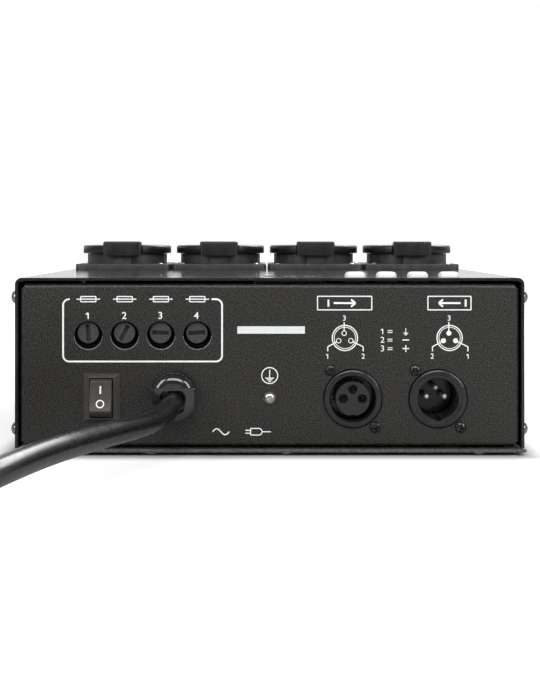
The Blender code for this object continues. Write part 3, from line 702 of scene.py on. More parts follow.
def makeGland(opts):
    at = onPanel(*opts["place"])
    radius, flat, proud = opts["radius"], opts["flat"], opts["proud"]
    arch = bevelled(rod(radius, 0.02, proud, sides=96), opts["rim"], 10, rimAbove(proud - 1e-3))
    arch = less(arch, block((-20, -20, -5), (20, opts["seam"], 20)))
    face = proud - opts["lowerBack"]
    lower = bevelled(rod(radius, 0.02, face, sides=96), opts["lowerRim"], 5, rimAbove(face - 0.01))
    lower = less(lower, block((-20, opts["seam"] - 0.1, -5), (20, 20, 20)))
    for side in (-1, 1):
        middle = side * (flat + 10)
        lower = less(lower, block((middle - 10, -20, -5), (middle + 10, 20, 20)))
    lower = plus(lower, rod(opts["barrel"], -16, 0.5))
    pieces = []
    halves = (("bushingLowerHalf", lower, ["cable_gland"]), ("bushingClampHalf", arch, []))
    for name, half, stands in halves:
        mouth = block((-opts["mouthHalf"], opts["mouthLow"], 2.0),
            (opts["mouthHalf"], opts["mouthHigh"], 30))
        isTop = lambda spot, way: abs(way.z) > 0.9 and spot.y > 0
        isFoot = lambda spot, way: abs(way.z) > 0.9 and spot.y < -3
        mouth = bevelled(mouth, opts["mouthTopRound"], 6, isTop)
        mouth = bevelled(mouth, opts["mouthFootRound"], 8, isFoot)
        pieces.append(finished(name, less(half, mouth), bushingNylon, at, stands=stands, edge=0.35,
            segments=4))
    return pieces


glandPieces = makeGland(gland)
print("cable, plug and bushing made")


# Lines, letters and dots of printing, in the plane of a face

def shapeOfCurve(drawn):
    holder = newObject("work", drawn)
    solid = holder.evaluated_get(bpy.context.evaluated_depsgraph_get())
    mesh = bpy.data.meshes.new_from_object(solid)
    shape = bmesh.new()
    shape.from_mesh(mesh)
    bmesh.ops.remove_doubles(shape, verts=shape.verts, dist=mergeWithin)
    bpy.data.objects.remove(holder)
    bpy.data.curves.remove(drawn)
    bpy.data.meshes.remove(mesh)
    return shape


def roundCorners(points, reach, closed):
    # swaps each corner between long runs for a small curve, which keeps the line's width
    count = len(points)
    spots = [Vector((x, y, 0)) for x, y in points]
    result = []
    for index, spot in enumerate(spots):
        before, after = spots[index - 1], spots[(index + 1) % count]
        isEnd = not closed and index in (0, count - 1)
        if isEnd or min((spot - before).length, (after - spot).length) < 3 * reach:
            result.append(spot)
            continue
        a = spot + (before - spot).normalized() * reach
        b = spot + (after - spot).normalized() * reach
        result += [a, (a + b + 2 * spot) / 4, b]
    return result


def inkLine(points, width, closed=False):
    # a round tube pressed almost flat
    drawn = bpy.data.curves.new("inkLine", "CURVE")
    drawn.dimensions = "3D"
    drawn.bevel_depth = width / 2
    drawn.bevel_resolution = 1
    drawn.use_fill_caps = True
    spots = roundCorners(points, 0.6 * width, closed)
    line = drawn.splines.new("POLY")
    line.points.add(len(spots) - 1)
    for spot, point in zip(line.points, spots):
        spot.co = (*point, 1)
    line.use_cyclic_u = closed
    shape = shapeOfCurve(drawn)
    bmesh.ops.scale(shape, vec=(1, 1, 0.09 / width), verts=shape.verts)
    return shape


def drawLine(drawn, points, width, closed=False):
    addTo(drawn, inkLine(points, width, closed))


def inkText(text, place, size, bold):
    drawn = bpy.data.curves.new("inkText", "FONT")
    drawn.body = text
    drawn.size = size
    drawn.align_x = "CENTER"
    drawn.offset = bold
    drawn.extrude = 0.045
    return movedShape(shapeOfCurve(drawn), (*place, 0))


def numeral(number, place, tall, weight):
    # the font's 1 is a bare bar, so it is drawn with a flag
    if number > 1:
        return inkText(str(number), place, tall / 0.64, 0.15 * weight - 0.04)
    x, y = place
    return inkLine([(x - 0.3 * tall, y + 0.72 * tall), (x + 0.05 * tall, y + 0.94 * tall),
        (x + 0.05 * tall, y)], weight)


def disc(place, radius):
    return rod(radius, -0.04, 0.045, place, 24)


def arcPoints(middle, radius, start, end, steps):
    angles = [math.radians(start + (end - start) * step / steps) for step in range(steps + 1)]
    return [(middle[0] + radius * math.cos(a), middle[1] + radius * math.sin(a)) for a in angles]


def ringPoints(middle, radius, steps=48):
    return arcPoints(middle, radius, 0, 360, steps)[:-1]


# Places on the rear panel: across from the middle, and up from the floor

fuseHoles = (-76.2, -60.9, -45.7, -30.4)
fuseHeight = 50.5
switchPlace = (-70.5, 24.4)
earthPlace = (0.0, 24.2)
outputPlace = (34.9, 23.9)
inputPlace = (70.7, 23.9)


def socketMiddle(number):
    low, high = boxOf(f"socket_body_{number}")
    return Vector(((low.x + high.x) / 2, high.y - socket["flange"] / 2, coverHigh.z))


socket = {"flange": 50.0, "corner": 2.5, "neck": 21.7, "neckTop": 8.2, "recess": 19.5, "floor": -9.3,
    "pins": 9.5, "screws": 19.0, "hingeY": -23.1, "hingeZ": 11.4, "bore": 1.35, "barrelHalf": 8.05,
    "flangeScrew": (2.3, 1.5, 1.5), "middleScrew": (2.6, 1.6, 1.0), "ribOut": 18.0,
    # blocks by their low and high corners
    "lug": ((-4.7, -24.7, 1.5), (4.7, -18.7, 8.0)),
    "hood": ((-10, -27.6, 7.5), (10, -20.8, 14.9)),
    "hoodInside": ((-8.4, -26.0, 8.4), (8.4, -15.8, 30)),
    "hingeGap": ((-10.4, -30, 0), (10.4, -18.6, 30)),
    "lip": ((-7, 22.0, 9.0), (7, 24.9, 11.2)),
    # outlines as (radius, height), but the clip's as (y, z)
    "crown": ((0, 13.1), (9, 13.06), (14, 12.99), (19.3, 12.88), (19.6, 12.6), (20.4, 12.6),
        (20.7, 12.84), (22.6, 12.76), (23.3, 12.65), (23.7, 12.3), (23.9, 11.8), (23.9, 8.9),
        (23.6, 8.5), (21.0, 8.5), (20.6, 8.9), (20.2, 9.3), (19.0, 9.3), (18.8, 7.7), (17.6, 7.7),
        (17.4, 9.3), (0, 9.3)),
    "contact": ((2.55, -20.5), (2.55, -11.5), (2.3, -11.2), (2.0, -11.5), (2.0, -20.5)),
    "clip": ((19.45, -9.2), (18.95, -9.2), (17.2, -1.0), (17.3, 1.0), (18.9, 5.2), (19.3, 5.0),
        (17.9, 0.9), (17.8, -0.9)),
    "pin": ((0, 9.8), (0.7, 9.8), (1.0, 9.5), (1.0, -9.5), (0.7, -9.8), (0, -9.8))}


# Case

# a hole's size is its radius, or half its width and half its height; pillars by their radius
case = {"sheet": 1.2, "bend": 2.8, "panelEdge": 1.9, "flange": 12.0, "cornerRelief": 1.3,
    "screwBack": 7.0, "screwHeights": (10.5, 66.4), "socketHole": 22.0, "buttonHole": (4.75, 3.85),
    "displayGap": 0.4, "panelHalf": 104.9, "fuseHole": 5.9, "glandHole": 7.8, "connectorHole": 12.55,
    "earthHole": 1.6, "switchHole": (6.8, 9.8), "plate": 1.4, "pillarsAcross": (-86, 86),
    "pillarsBack": (20, 112), "pillar": 3.0, "baseScrews": (-50.0, 7.0, 88.0), "baseScrewInset": 3.4,
    # radius, height and shank of a screw
    "coverScrew": (3.0, 2.75, 1.1), "baseScrew": (3.1, 1.3, 1.0),
    # outline as (radius, height)
    "foot": ((0, 1.35), (5.7, 1.35), (6.0, 1.2), (6.0, 0.5), (5.7, 0.15), (5.2, 0.0), (2.0, 0.0),
        (1.6, 0.35), (0, 0.35))}


def crossScrew(radius, height, shank):
    # pan head with a tapered cross recess
    profile = [(0, height), (0.42 * radius, 0.97 * height), (0.74 * radius, 0.78 * height),
        (0.94 * radius, 0.46 * height), (radius, 0.12 * height), (radius, 0), (0.5 * radius, 0),
        (0.5 * radius, -shank), (0, -shank)]
    head = lathe(profile, 40)
    reach, wide, deep = 0.62 * radius, 0.19 * radius, 0.75 * height
    for turn in (0, 90):
        arm = block((-reach, -wide, height - deep), (reach, wide, height + 1))
        foot = [v for v in arm.verts if v.co.z < height]
        bmesh.ops.scale(arm, vec=(0.5, 0.7, 1), verts=foot)
        head = less(head, turnedShape(arm, turn + 20, "Z"))
    return head


def makeTopCover(opts):
    low, high = coverLow, coverHigh
    isBend = lambda spot, way: abs(way.y) > 0.9 and spot.z > high.z - 3
    outer = bevelled(block(low, high), opts["bend"], 8, isBend)
    sheet = opts["sheet"]
    inner = block((low.x + sheet, low.y - 5, low.z - 5), (high.x - sheet, high.y + 5, high.z - sheet))
    inner = bevelled(inner, opts["bend"] - sheet, 6, isBend)
    cover = less(outer, inner)
    for number in range(1, 5):
        spot = socketMiddle(number)
        cover = less(cover, rod(opts["socketHole"], high.z - 5, high.z + 5, spot[:2], 96))
    for number in range(1, 5):
        middle = middleOf(f"channel_button_{number}")
        across, along = opts["buttonHole"]
        hole = slab((-across, -along, -5), (across, along, 5), 1.7, 5)
        cover = less(cover, movedShape(hole, (middle.x, middle.y, high.z)))
    bottom, top = boxOf("address_display")
    gap = opts["displayGap"]
    window = slab((bottom.x - gap, bottom.y - gap, high.z - 5), (top.x + gap, top.y + gap, high.z + 5),
        0.6, 3)
    cover = less(cover, window)
    finished("topCover", cover, coverCoat, stands=["top_cover"], edge=0.3, segments=3)


def trayShape(opts, low, high):
    # a shallow tray whose face is at z = 0: bent edges, with a relief hole at each corner
    isRim = lambda spot, way: spot.z > -1e-3
    outer = bevelled(block((low[0], low[1], -opts["flange"]), (high[0], high[1], 0)), opts["panelEdge"],
        5, isRim)
    sheet = opts["sheet"]
    inner = block((low[0] + sheet, low[1] + sheet, -opts["flange"] - 5),
        (high[0] - sheet, high[1] - sheet, -sheet))
    tray = less(outer, inner)
    for x in (low[0] + 0.5, high[0] - 0.5):
        for y in (low[1] + 0.5, high[1] - 0.5):
            tray = less(tray, rod(opts["cornerRelief"], -opts["flange"] - 1, 1, (x, y), 24))
    return tray


def makeRearPanel(opts):
    tray = trayShape(opts, (-opts["panelHalf"], panelLow.z), (opts["panelHalf"], panelHigh.z))
    for x in fuseHoles:
        tray = less(tray, rod(opts["fuseHole"], -5, 5, (x, fuseHeight), 64))
    holes = ((gland["place"], "glandHole"), (outputPlace, "connectorHole"),
        (inputPlace, "connectorHole"), (earthPlace, "earthHole"))
    for place, hole in holes:
        tray = less(tray, rod(opts[hole], -5, 5, place, 96))
    x, y = switchPlace
    across, along = opts["switchHole"]
    tray = less(tray, block((x - across, y - along, -5), (x + across, y + along, 5)))
    finished("rearPanel", tray, coat, onPanel(0, 0), stands=["rear_panel"], edge=0.3, segments=3)


def makeFrontPanel(opts):
    low, high = boxOf("front_panel")
    tray = trayShape(opts, (low.x, low.z), (high.x, high.z))
    at = atPlace((0, high.y, 0)) @ turnBy(180, "Z") @ turnBy(90, "X")
    finished("frontPanel", tray, coat, at, stands=["front_panel"], edge=0.22, segments=3)


def makeBase(opts):
    low, high = boxOf("base_plate")
    top = low.z + opts["plate"]
    plate = slab((low.x, low.y, low.z), (high.x, high.y, top), 2.0, 5)
    for x in opts["pillarsAcross"]:
        for back in opts["pillarsBack"]:
            pillar = rod(opts["pillar"], top - 0.5, high.z, (x, rearY + back), 32)
            plate = plus(plate, pillar)
    finished("basePlate", plate, baseCoat, stands=["base_plate"], edge=0.45, segments=3)
    screws = bmesh.new()
    for x in opts["baseScrews"]:
        for y in (rearY + opts["baseScrewInset"], frontY - opts["baseScrewInset"]):
            head = turnedShape(crossScrew(*opts["baseScrew"]), 180, "X")
            addTo(screws, movedShape(head, (x, y, low.z)))
    finished("baseScrews", screws, nickel)
    for number in range(1, 5):
        spot = middleOf(f"foot_{number}")
        finished(f"foot_{number}_rubber", lathe(opts["foot"], 48, (spot.x, spot.y, 0)), rubber,
            stands=[f"foot_{number}"])


def makeCoverScrews(opts):
    number = 0
    for side in (-1, 1):
        for height in opts["screwHeights"]:
            number += 1
            spots = (("coverScrewRear", rearY + opts["screwBack"], [f"cover_screw_{number}"]),
                ("coverScrewFront", frontY - opts["screwBack"], []))
            for name, y, stands in spots:
                at = atPlace((side * coverHigh.x, y, height)) @ turnBy(90 * side, "Y")
                head = turnedShape(crossScrew(*opts["coverScrew"]), 35 * number, "Z")
                finished(f"{name}_{number}", movedShape(head, (0, 0, 0.02)), zinc, at, stands=stands)


makeTopCover(case)
makeRearPanel(case)
makeFrontPanel(case)
makeBase(case)
makeCoverScrews(case)
print("case made")


# Mains sockets

def atHinge(shape, opts):
    # lays a shape made along Z on the hinge's line
    return movedShape(turnedShape(shape, 90, "Y"), (0, opts["hingeY"], opts["hingeZ"]))


def makeSocketBody(number, opts):
    half = opts["flange"] / 2
    body = slab((-half, -half, 0.02), (half, half, 3.0), opts["corner"], 6, 0.55, 3)
    neck = rod(opts["neck"], -25, opts["neckTop"], sides=96)
    body = plus(body, neck, block(*opts["lug"]))
    body = less(body, rod(opts["recess"], opts["floor"], 30, sides=96))
    for side in (-1, 1):
        funnel = lathe([(0, opts["floor"] + 1), (3.6, opts["floor"] + 1), (3.6, opts["floor"]),
            (2.6, opts["floor"] - 1), (2.6, -21), (0, -21)], 32, (side * opts["pins"], 0, 0))
        body = less(body, funnel)
        out = side * opts["ribOut"]
        rib = slab((out - 1.6, -2.1, opts["floor"] - 1), (out + 1.6, 2.1, 7.4), 0.6, 3, 0.5, 2)
        body = plus(body, rib)
        for along in (-1, 1):
            well = rod(2.5, 1.9, 8, (side * opts["screws"], along * opts["screws"]), 32)
            body = less(body, well)
    finished(f"socketBody_{number}", body, greyPolyamide, atPlace(socketMiddle(number)),
        stands=[f"socket_body_{number}"], edge=0.18, segments=3)


def makeHinge(number, opts):
    # the hood that holds the lid's pin, clipped on the neck and moulded like the lid
    at = atPlace(socketMiddle(number))
    hood = slab(*opts["hood"], 1.3, 5, 1.0, 5)
    pinHole = atHinge(rod(opts["bore"], -15, 15, sides=24), opts)
    hood = less(hood, block(*opts["hoodInside"]), pinHole)
    finished(f"hingeHood_{number}", hood, polyamide, at, edge=0.18, segments=3)
    pin = atHinge(lathe(opts["pin"], 24), opts)
    finished(f"hingePin_{number}", pin, steel, at, stands=[f"socket_pin_{number}"])


def makeSocketMetal(number, opts):
    at = atPlace(socketMiddle(number))
    screws = bmesh.new()
    for x in (-1, 1):
        for y in (-1, 1):
            head = turnedShape(crossScrew(*opts["flangeScrew"]), 25 * x + 50 * y + 31 * number, "Z")
            addTo(screws, movedShape(head, (x * opts["screws"], y * opts["screws"], 1.95)))
    finished(f"socketScrews_{number}", screws, nickel, at)
    metal = movedShape(crossScrew(*opts["middleScrew"]), (0, 0, opts["floor"]))
    for side in (-1, 1):
        lathe(opts["contact"], 24, (side * opts["pins"], 0, 0), metal, closed=True)
        addTo(metal, turnedShape(prism(opts["clip"], 2.9), 0 if side > 0 else 180, "Z"))
    finished(f"socketContacts_{number}", metal, nickel, at)


def makeLid(number, opts):
    lid = less(lathe(opts["crown"], 96), block(*opts["hingeGap"]))
    half = opts["barrelHalf"]
    barrel = atHinge(rod(2.6, -half, half, sides=40), opts)
    arm = block((-half, opts["hingeY"], 8.85), (half, -18.0, 12.4))
    lid = plus(lid, barrel, arm, slab(*opts["lip"], 1.2, 4, 0.5, 2))
    bore = atHinge(rod(opts["bore"], -12, 12, sides=24), opts)
    finished(f"socketLid_{number}", less(lid, bore), polyamide, atPlace(socketMiddle(number)),
        body=f"socket_lid_{number}", stands=[f"socket_lid_{number}"], edge=0.22, segments=3)


for number in range(1, 5):
    makeSocketBody(number, socket)
    makeHinge(number, socket)
    makeSocketMetal(number, socket)
    makeLid(number, socket)
print("sockets made")


# Fuses

fuse = {"shift": (-0.3, 1.0), "turns": (94, 63, -2, 4), "face": -1.6, "radius": 4.6,
    "slot": (3.5, 0.9, 2.2), "glintRadius": 5.96,
    # outlines as (radius, height), and the metal ends by their low and high
    "holder": ((0, -30), (3.4, -30), (3.4, -17), (5.6, -17), (5.75, -6), (6.3, -6), (6.3, -32),
        (0, -32)),
    "ring": ((6.1, -1.25), (7.3, -1.25), (7.3, -7), (5.2, -7), (5.2, -6.2), (6.1, -6.2)),
    "ends": ((-13.4, -8.4), (-28.4, -23.4)),
    "tube": ((2.4, -23.3), (2.4, -13.5), (1.9, -13.5), (1.9, -23.3)),
    # each glint's start and end in degrees, and its width
    "glints": ((184, 356, 0.18), (212, 328, 0.34))}


def fuseRings(opts):
    # the cap's outline, with shallow rings turned into its face
    face, edge = opts["face"], opts["radius"]
    profile = [(0, face)]
    for ring in (1.2, 2.1, 3.0):
        profile += [(ring, face), (ring + 0.1, face - 0.12), (ring + 0.35, face - 0.12),
            (ring + 0.45, face)]
    return profile + [(edge - 0.5, face), (edge - 0.15, face - 0.12), (edge, face - 0.5), (edge, -13),
        (4, -13.5), (4, -16), (2.95, -16), (2.95, -8), (0, -8)]


def makeFuse(number, opts):
    at = onPanel(fuseHoles[number - 1] + opts["shift"][0], fuseHeight + opts["shift"][1])
    holder = lathe(opts["holder"], 64)
    # its front ring is round the panel's hole, which sits lower than the cap
    ring = lathe(opts["ring"], 64, (-opts["shift"][0], -opts["shift"][1], 0), closed=True)
    holder = plus(holder, less(ring, rod(5.75, -10, -1)))
    low = boxOf(f"fuse_holder_{number}")[0].z - fuseHeight - opts["shift"][1]
    holder = plus(holder, slab((-4.5, low, -29), (4.5, -5.4, -6), 0.4, 2))
    tag = f"fuse_holder_{number}"
    finished(f"fuseHolder_{number}", holder, shadedHolderPlastic, at, stands=[tag], edge=0.1)
    long, wide, deep = opts["slot"]
    slot = block((-long, -wide, opts["face"] - deep), (long, wide, 1))
    cap = less(lathe(fuseRings(opts), 72), turnedShape(slot, opts["turns"][number - 1], "Z"))
    tag = f"fuse_cap_{number}"
    finished(f"fuseCap_{number}", cap, thermoset, at, body=tag, stands=[tag], edge=0.12)
    tag = f"fuse_link_{number}"
    ends = bmesh.new()
    for low, high in opts["ends"]:
        lathe([(0, high), (2.35, high), (2.6, high - 0.25), (2.6, low + 0.25), (2.35, low), (0, low)],
            40, shape=ends)
    finished(f"fuseEnds_{number}", ends, nickel, at, body=tag, stands=[tag])
    finished(f"fuseGlass_{number}", lathe(opts["tube"], 40, closed=True), glass, at, body=tag)
    finished(f"fuseWire_{number}", rod(0.12, -23.5, -13.3, sides=8), nickel, at, body=tag)


def makeHoleGlints(opts):
    # a painted highlight: a thin arc of light under each hole, broad below and fine up its sides
    glints = bmesh.new()
    for x in fuseHoles:
        for start, end, wide in opts["glints"]:
            drawLine(glints, arcPoints((x, fuseHeight), opts["glintRadius"], start, end, 24), wide)
    finished("fuseHoleGlints", glints, holeHighlight, onPanel(0, 0))


for number in range(1, 5):
    makeFuse(number, fuse)
makeHoleGlints(fuse)
print("fuses made")


# Rocker switch

switch = {"across": 7.7, "along": 10.2, "proud": 2.0, "rim": (0.70, 0.865), "opening": (4.9, 8.3),
    "housing": (6.4, 9.4), "blade": (2.4, 0.4), "bladePitch": 6, "width": 9.1, "radius": 8.1,
    "chord": 5.15, "tip": 12.0, "hollow": ((0, 0.5), (2.2, 0.5), (4.4, 0.3)), "markLift": 0.03}


def rockerOutline(opts):
    # half the rocker's side, from its crease round to its foot, then the other half
    start = math.asin(opts["chord"] / opts["radius"])
    steps = 14
    arc = [start - step * (start + math.radians(14)) / steps for step in range(steps + 1)]
    right = [(opts["radius"] * math.cos(a), opts["radius"] * math.sin(a)) for a in arc]
    # a shallow hollow between the tips, for the finger
    hollow = [(along, opts["chord"] - deep) for along, deep in opts["hollow"]]
    right = hollow[1:] + right
    return [hollow[0]] + right + [(-along, out) for along, out in reversed(right)]


def rockerFace(opts, along):
    # how far out the face stands at this place along it
    rows = [(place, opts["chord"] - deep) for place, deep in opts["hollow"]]
    rows.append((math.sqrt(opts["radius"] ** 2 - opts["chord"] ** 2), opts["chord"]))
    for (a, low), (b, high) in zip(rows, rows[1:]):
        if abs(along) <= b:
            return low + (high - low) * (abs(along) - a) / (b - a)
    return opts["chord"]


def makeSwitch(opts):
    at = onPanel(*switchPlace)
    across, along, proud = opts["across"], opts["along"], opts["proud"]
    bezel = block((-across, -along, 0.02), (across, along, proud))
    rim = [v for v in bezel.verts if v.co.z > proud / 2]
    bmesh.ops.scale(bezel, vec=(*opts["rim"], 1), verts=rim)
    wide, long = opts["housing"]
    body = plus(bezel, block((-wide, -long, -20), (wide, long, 1)))
    wide, long = opts["opening"]
    body = less(body, block((-wide, -long, -7.2), (wide, long, 9)))
    finished("switchBezel", body, nylon, at, stands=["switch_housing"], edge=0.15, segments=3)
    blades = bmesh.new()
    wide, thick = opts["blade"]
    for row in (-1, 0, 1):
        y = row * opts["bladePitch"]
        block((-wide, y - thick, -28), (wide, y + thick, -19.5), blades)
    finished("switchBlades", blades, nickel, at, edge=0.1)
    key = prism(rockerOutline(opts), opts["width"] / 2)
    tipped = at @ turnBy(-opts["tip"], "X")
    finished("rockerKey", key, rockerPlastic, tipped, body="switch_rocker", stands=["switch_rocker"],
        edge=0.3, segments=3)
    marks = inkLine([(-0.1, 1.1), (-0.1, 4.3)], 0.66)
    drawLine(marks, ringPoints((-0.1, -3.1), 1.5, 36), 0.5, closed=True)
    for spot in marks.verts:
        spot.co.z += rockerFace(opts, spot.co.y) + opts["markLift"]
    finished("rockerMarks", marks, ink, tipped, body="switch_rocker")


makeSwitch(switch)
print("switch made")


# Earth screw and data connectors

earth = {"screw": (2.4, 1.5, 9.0),
    "washer": ((1.3, 0.02), (1.3, 0.4), (2.45, 0.4), (2.55, 0.3), (2.55, 0.02))}
connector = {"shell": 12.2, "screws": (9.5, 12.0), "screw": (2.35, 1.2, 3.4), "poles": 3.98,
    # radius and depth of each mouth
    "mouths": {"input": (8.5, -19.0), "output": (9.4, -14.0)}}


def makeEarthScrew(opts):
    at = onPanel(*earthPlace)
    finished("earthWasher", lathe(opts["washer"], 40, closed=True), nickel, at)
    screw = turnedShape(movedShape(crossScrew(*opts["screw"]), (0, 0, 0.4)), 12, "Z")
    finished("earthScrew", screw, nickel, at, stands=["earth_screw"])


def makeConnector(kind, place, opts):
    at = onPanel(*place)
    male = kind == "input"
    outer = opts["shell"]
    mouth, floor = opts["mouths"][kind]
    step = mouth + (1.5 if male else 0.35)
    drum = lathe([(0, 1.25), (outer - 0.95, 1.25), (outer - 0.3, 0.95), (outer, 0.3), (outer, -23),
        (0, -23)], 96)
    drum = plus(drum, slab((-13, -15.5, -3.5), (13, 15.5, -1.5), 1.5, 3))
    shell = less(drum, lathe([(0, 2), (step + 0.15, 2), (step + 0.15, 1.25), (step, 1.0),
        (mouth + 0.25, 0.7), (mouth, 0.35), (mouth, floor), (0, floor)], 96))
    x, y = opts["screws"]
    for side in (-1, 1):
        shell = less(shell, rod(1.6, -5, 0, (side * x, -side * y), 24))
    if male:
        # keyway across the lower rim, and the guide groove inside
        shell = less(shell, block((-2.9, -11.3, 0.75), (2.9, -8.9, 3)),
            block((-1.3, -9.3, -14), (1.3, -7.5, 3)))
    tag = kind + "_connector_shell"
    finished(kind + "Shell", shell, shellPlastic, at, stands=[tag], edge=0.12, segments=3)
    poles = ((-opts["poles"], 0), (opts["poles"], 0), (0, opts["poles"]))
    tag = kind + "_connector_insert"
    contacts = bmesh.new()
    if male:
        insert = lathe([(0, -18.7), (8.1, -18.7), (8.1, -16.2), (7.9, -16), (0, -16)], 64)
        for spot in poles:
            insert = plus(insert, rod(1.9, -16.5, -15.2, spot, 32))
            lathe([(0, -6), (0.5, -6.05), (0.95, -6.35), (1.2, -7), (1.2, -17), (0, -17)], 32,
                (*spot, 0), contacts)
    else:
        insert = lathe([(0, -13.7), (7.4, -13.7), (7.4, 0.3), (7.1, 0.6), (0, 0.6)], 96)
        for spot in poles:
            funnel = lathe([(0, 2), (2.0, 2), (2.0, 0.6), (1.6, 0.1), (1.6, -11), (0, -11)], 32,
                (*spot, 0))
            insert = less(insert, funnel)
            lathe([(1.55, -10.5), (1.55, -2.2), (1.4, -2.0), (1.15, -2.2), (1.15, -10.5)], 24,
                (*spot, 0), contacts, closed=True)
        insert = less(insert, block((-1.1, -8, -14), (1.1, -6.7, 2)))
    # the male insert takes the darker copy: painted shade deep in its recess
    finished(kind + "Insert", insert, shadedInsertPlastic if male else shellPlastic, at, stands=[tag],
        edge=0.1)
    finished(kind + "Contacts", contacts, silver if male else nickel, at)
    screws = bmesh.new()
    for side in (-1, 1):
        head = turnedShape(crossScrew(*opts["screw"]), 18 + 40 * side, "Z")
        addTo(screws, movedShape(head, (side * x, -side * y, 0.02)))
    finished(kind + "Screws", screws, blackScrew, at)


makeEarthScrew(earth)
makeConnector("output", outputPlace, connector)
makeConnector("input", inputPlace, connector)
print("connectors made")


# Buttons, display and boards

button = {"across": 4.4, "along": 3.5, "corner": 2.4, "proud": 2.0, "rim": 1.7, "brim": 1.2}
display = {"digits": 3, "pitch": 8.4, "tall": 8.0, "wide": 4.6, "stroke": 0.95, "slant": 8}


def makeButton(number, opts):
    tag = f"channel_button_{number}"
    at = atPlace((*middleOf(tag).xy, coverHigh.z))
    across, along = opts["across"], opts["along"]
    cap = slab((-across, -along, -1.0), (across, along, opts["proud"]), opts["corner"], 8, opts["rim"],
        6)
    finished(f"channelButton_{number}", cap, whitePlastic, at, body=tag, stands=[tag])
    # a black stem holds the cap, with a brim that stops under the cover
    stem = slab((-across + 0.2, -along + 0.2, -7), (across - 0.2, along - 0.2, -0.9), opts["corner"], 5)
    brim = slab((-across - opts["brim"], -along + 0.4, -2.8),
        (across + opts["brim"], along + opts["brim"], -1.7), 1.8, 4)
    finished(f"buttonStem_{number}", plus(stem, brim), shellPlastic, at, body=tag, edge=0.12)


def digitSegments(opts):
    # seven bars, as on a display that is switched off
    tall, wide, stroke = opts["tall"], opts["wide"], opts["stroke"]
    bars = bmesh.new()
    for row in (-1, 0, 1):
        y = row * (tall - stroke) / 2
        block((-wide / 2 + stroke, y - stroke / 2, 0), (wide / 2 - stroke, y + stroke / 2, 0.04), bars)
    for x in (-1, 1):
        for row in (-1, 1):
            middle = row * (tall - stroke) / 4
            half = (tall - stroke) / 4 - 0.62 * stroke
            spot = x * (wide - stroke) / 2
            block((spot - stroke / 2, middle - half, 0), (spot + stroke / 2, middle + half, 0.04), bars)
    lean = Matrix.Identity(3)
    lean[0][1] = math.tan(math.radians(opts["slant"]))
    bars.transform(lean.to_4x4())
    return bars


def makeDisplay(opts):
    low, high = boxOf("address_display")
    at = atPlace((*middleOf("address_display").xy, high.z)) @ turnBy(180, "Z")
    across, along = (high.x - low.x) / 2, (high.y - low.y) / 2
    window = slab((-across, -along, -1.1), (across, along, 0), 0.5, 3)
    finished("displayWindow", window, lens, at, stands=["address_display"], edge=0.15)
    body = block((-across, -along + 0.4, low.z - high.z), (across, along - 0.8, -1.05))
    finished("displayBody", body, shellPlastic, at, edge=0.2)
    bars = bmesh.new()
    for number in range(opts["digits"]):
        x = (number - (opts["digits"] - 1) / 2) * opts["pitch"]
        addTo(bars, movedShape(digitSegments(opts), (x, 0, 0)))
    finished("displaySegments", bars, segmentPlastic, at)


def dressBoards():
    # the inner pieces keep their CAD shapes
    board, can = solderMask(), relayCan()
    looks = {"control_board": board, "power_board": board, "transformer": laminatedIron(),
        "terminal_block": terminalPolyamide()}
    for number in range(1, 5):
        looks[f"relay_{number}"] = can
    for node, material in looks.items():
        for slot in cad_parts[node].material_slots:
            slot.material = material


for number in range(1, 5):
    makeButton(number, button)
makeDisplay(display)
dressBoards()
print("buttons, display and boards made")


# Printing on the rear panel: places across from the middle and up from the floor

printing = {"line": 0.74, "fine": 0.46, "outputSign": (31.6, 49.4), "inputSign": (75.6, 49.4),
    "outputArrow": (20.1, 42.9), "inputArrow": (66.5, 84.6), "earth": (0.0, 33.6, 3.35),
    "label": ((-13.6, 51.2, 0.0), (14.8, 54.3, 0.09))}
frameBox = {"left": -86.8, "right": -20.0, "top": 65.7, "bottom": 39.5, "radius": 2.6,
    "breakLeft": -84.0, "breakRight": -24.4}


def fuseFrame(opts):
    # a rounded frame whose top line breaks for a row of fuse signs
    left, right, radius = opts["left"], opts["right"], opts["radius"]
    top, bottom = opts["top"], opts["bottom"]
    points = [(opts["breakLeft"], top)]
    near, away, low, high = left + radius, right - radius, bottom + radius, top - radius
    for x, y, start in ((near, high, 90), (near, low, 180), (away, low, 270), (away, high, 0)):
        points += arcPoints((x, y), radius, start, start + 90, 8)
    points.append((opts["breakRight"], top))
    drawn = inkLine(points, printing["line"])
    for x in fuseHoles:
        # the general sign for a fuse: a lead right through a small box
        half, tall = 3.2, 1.1
        corners = [(x - half, top - tall), (x + half, top - tall), (x + half, top + tall),
            (x - half, top + tall)]
        drawLine(drawn, corners, printing["fine"], closed=True)
        drawLine(drawn, [(x - half - 1.7, top), (x + half + 1.7, top)], printing["fine"])
    for number, x in enumerate((-76.4, -61.1, -45.9, -30.8), 1):
        addTo(drawn, numeral(number, (x, 57.4), 2.7, 0.56))
    return drawn


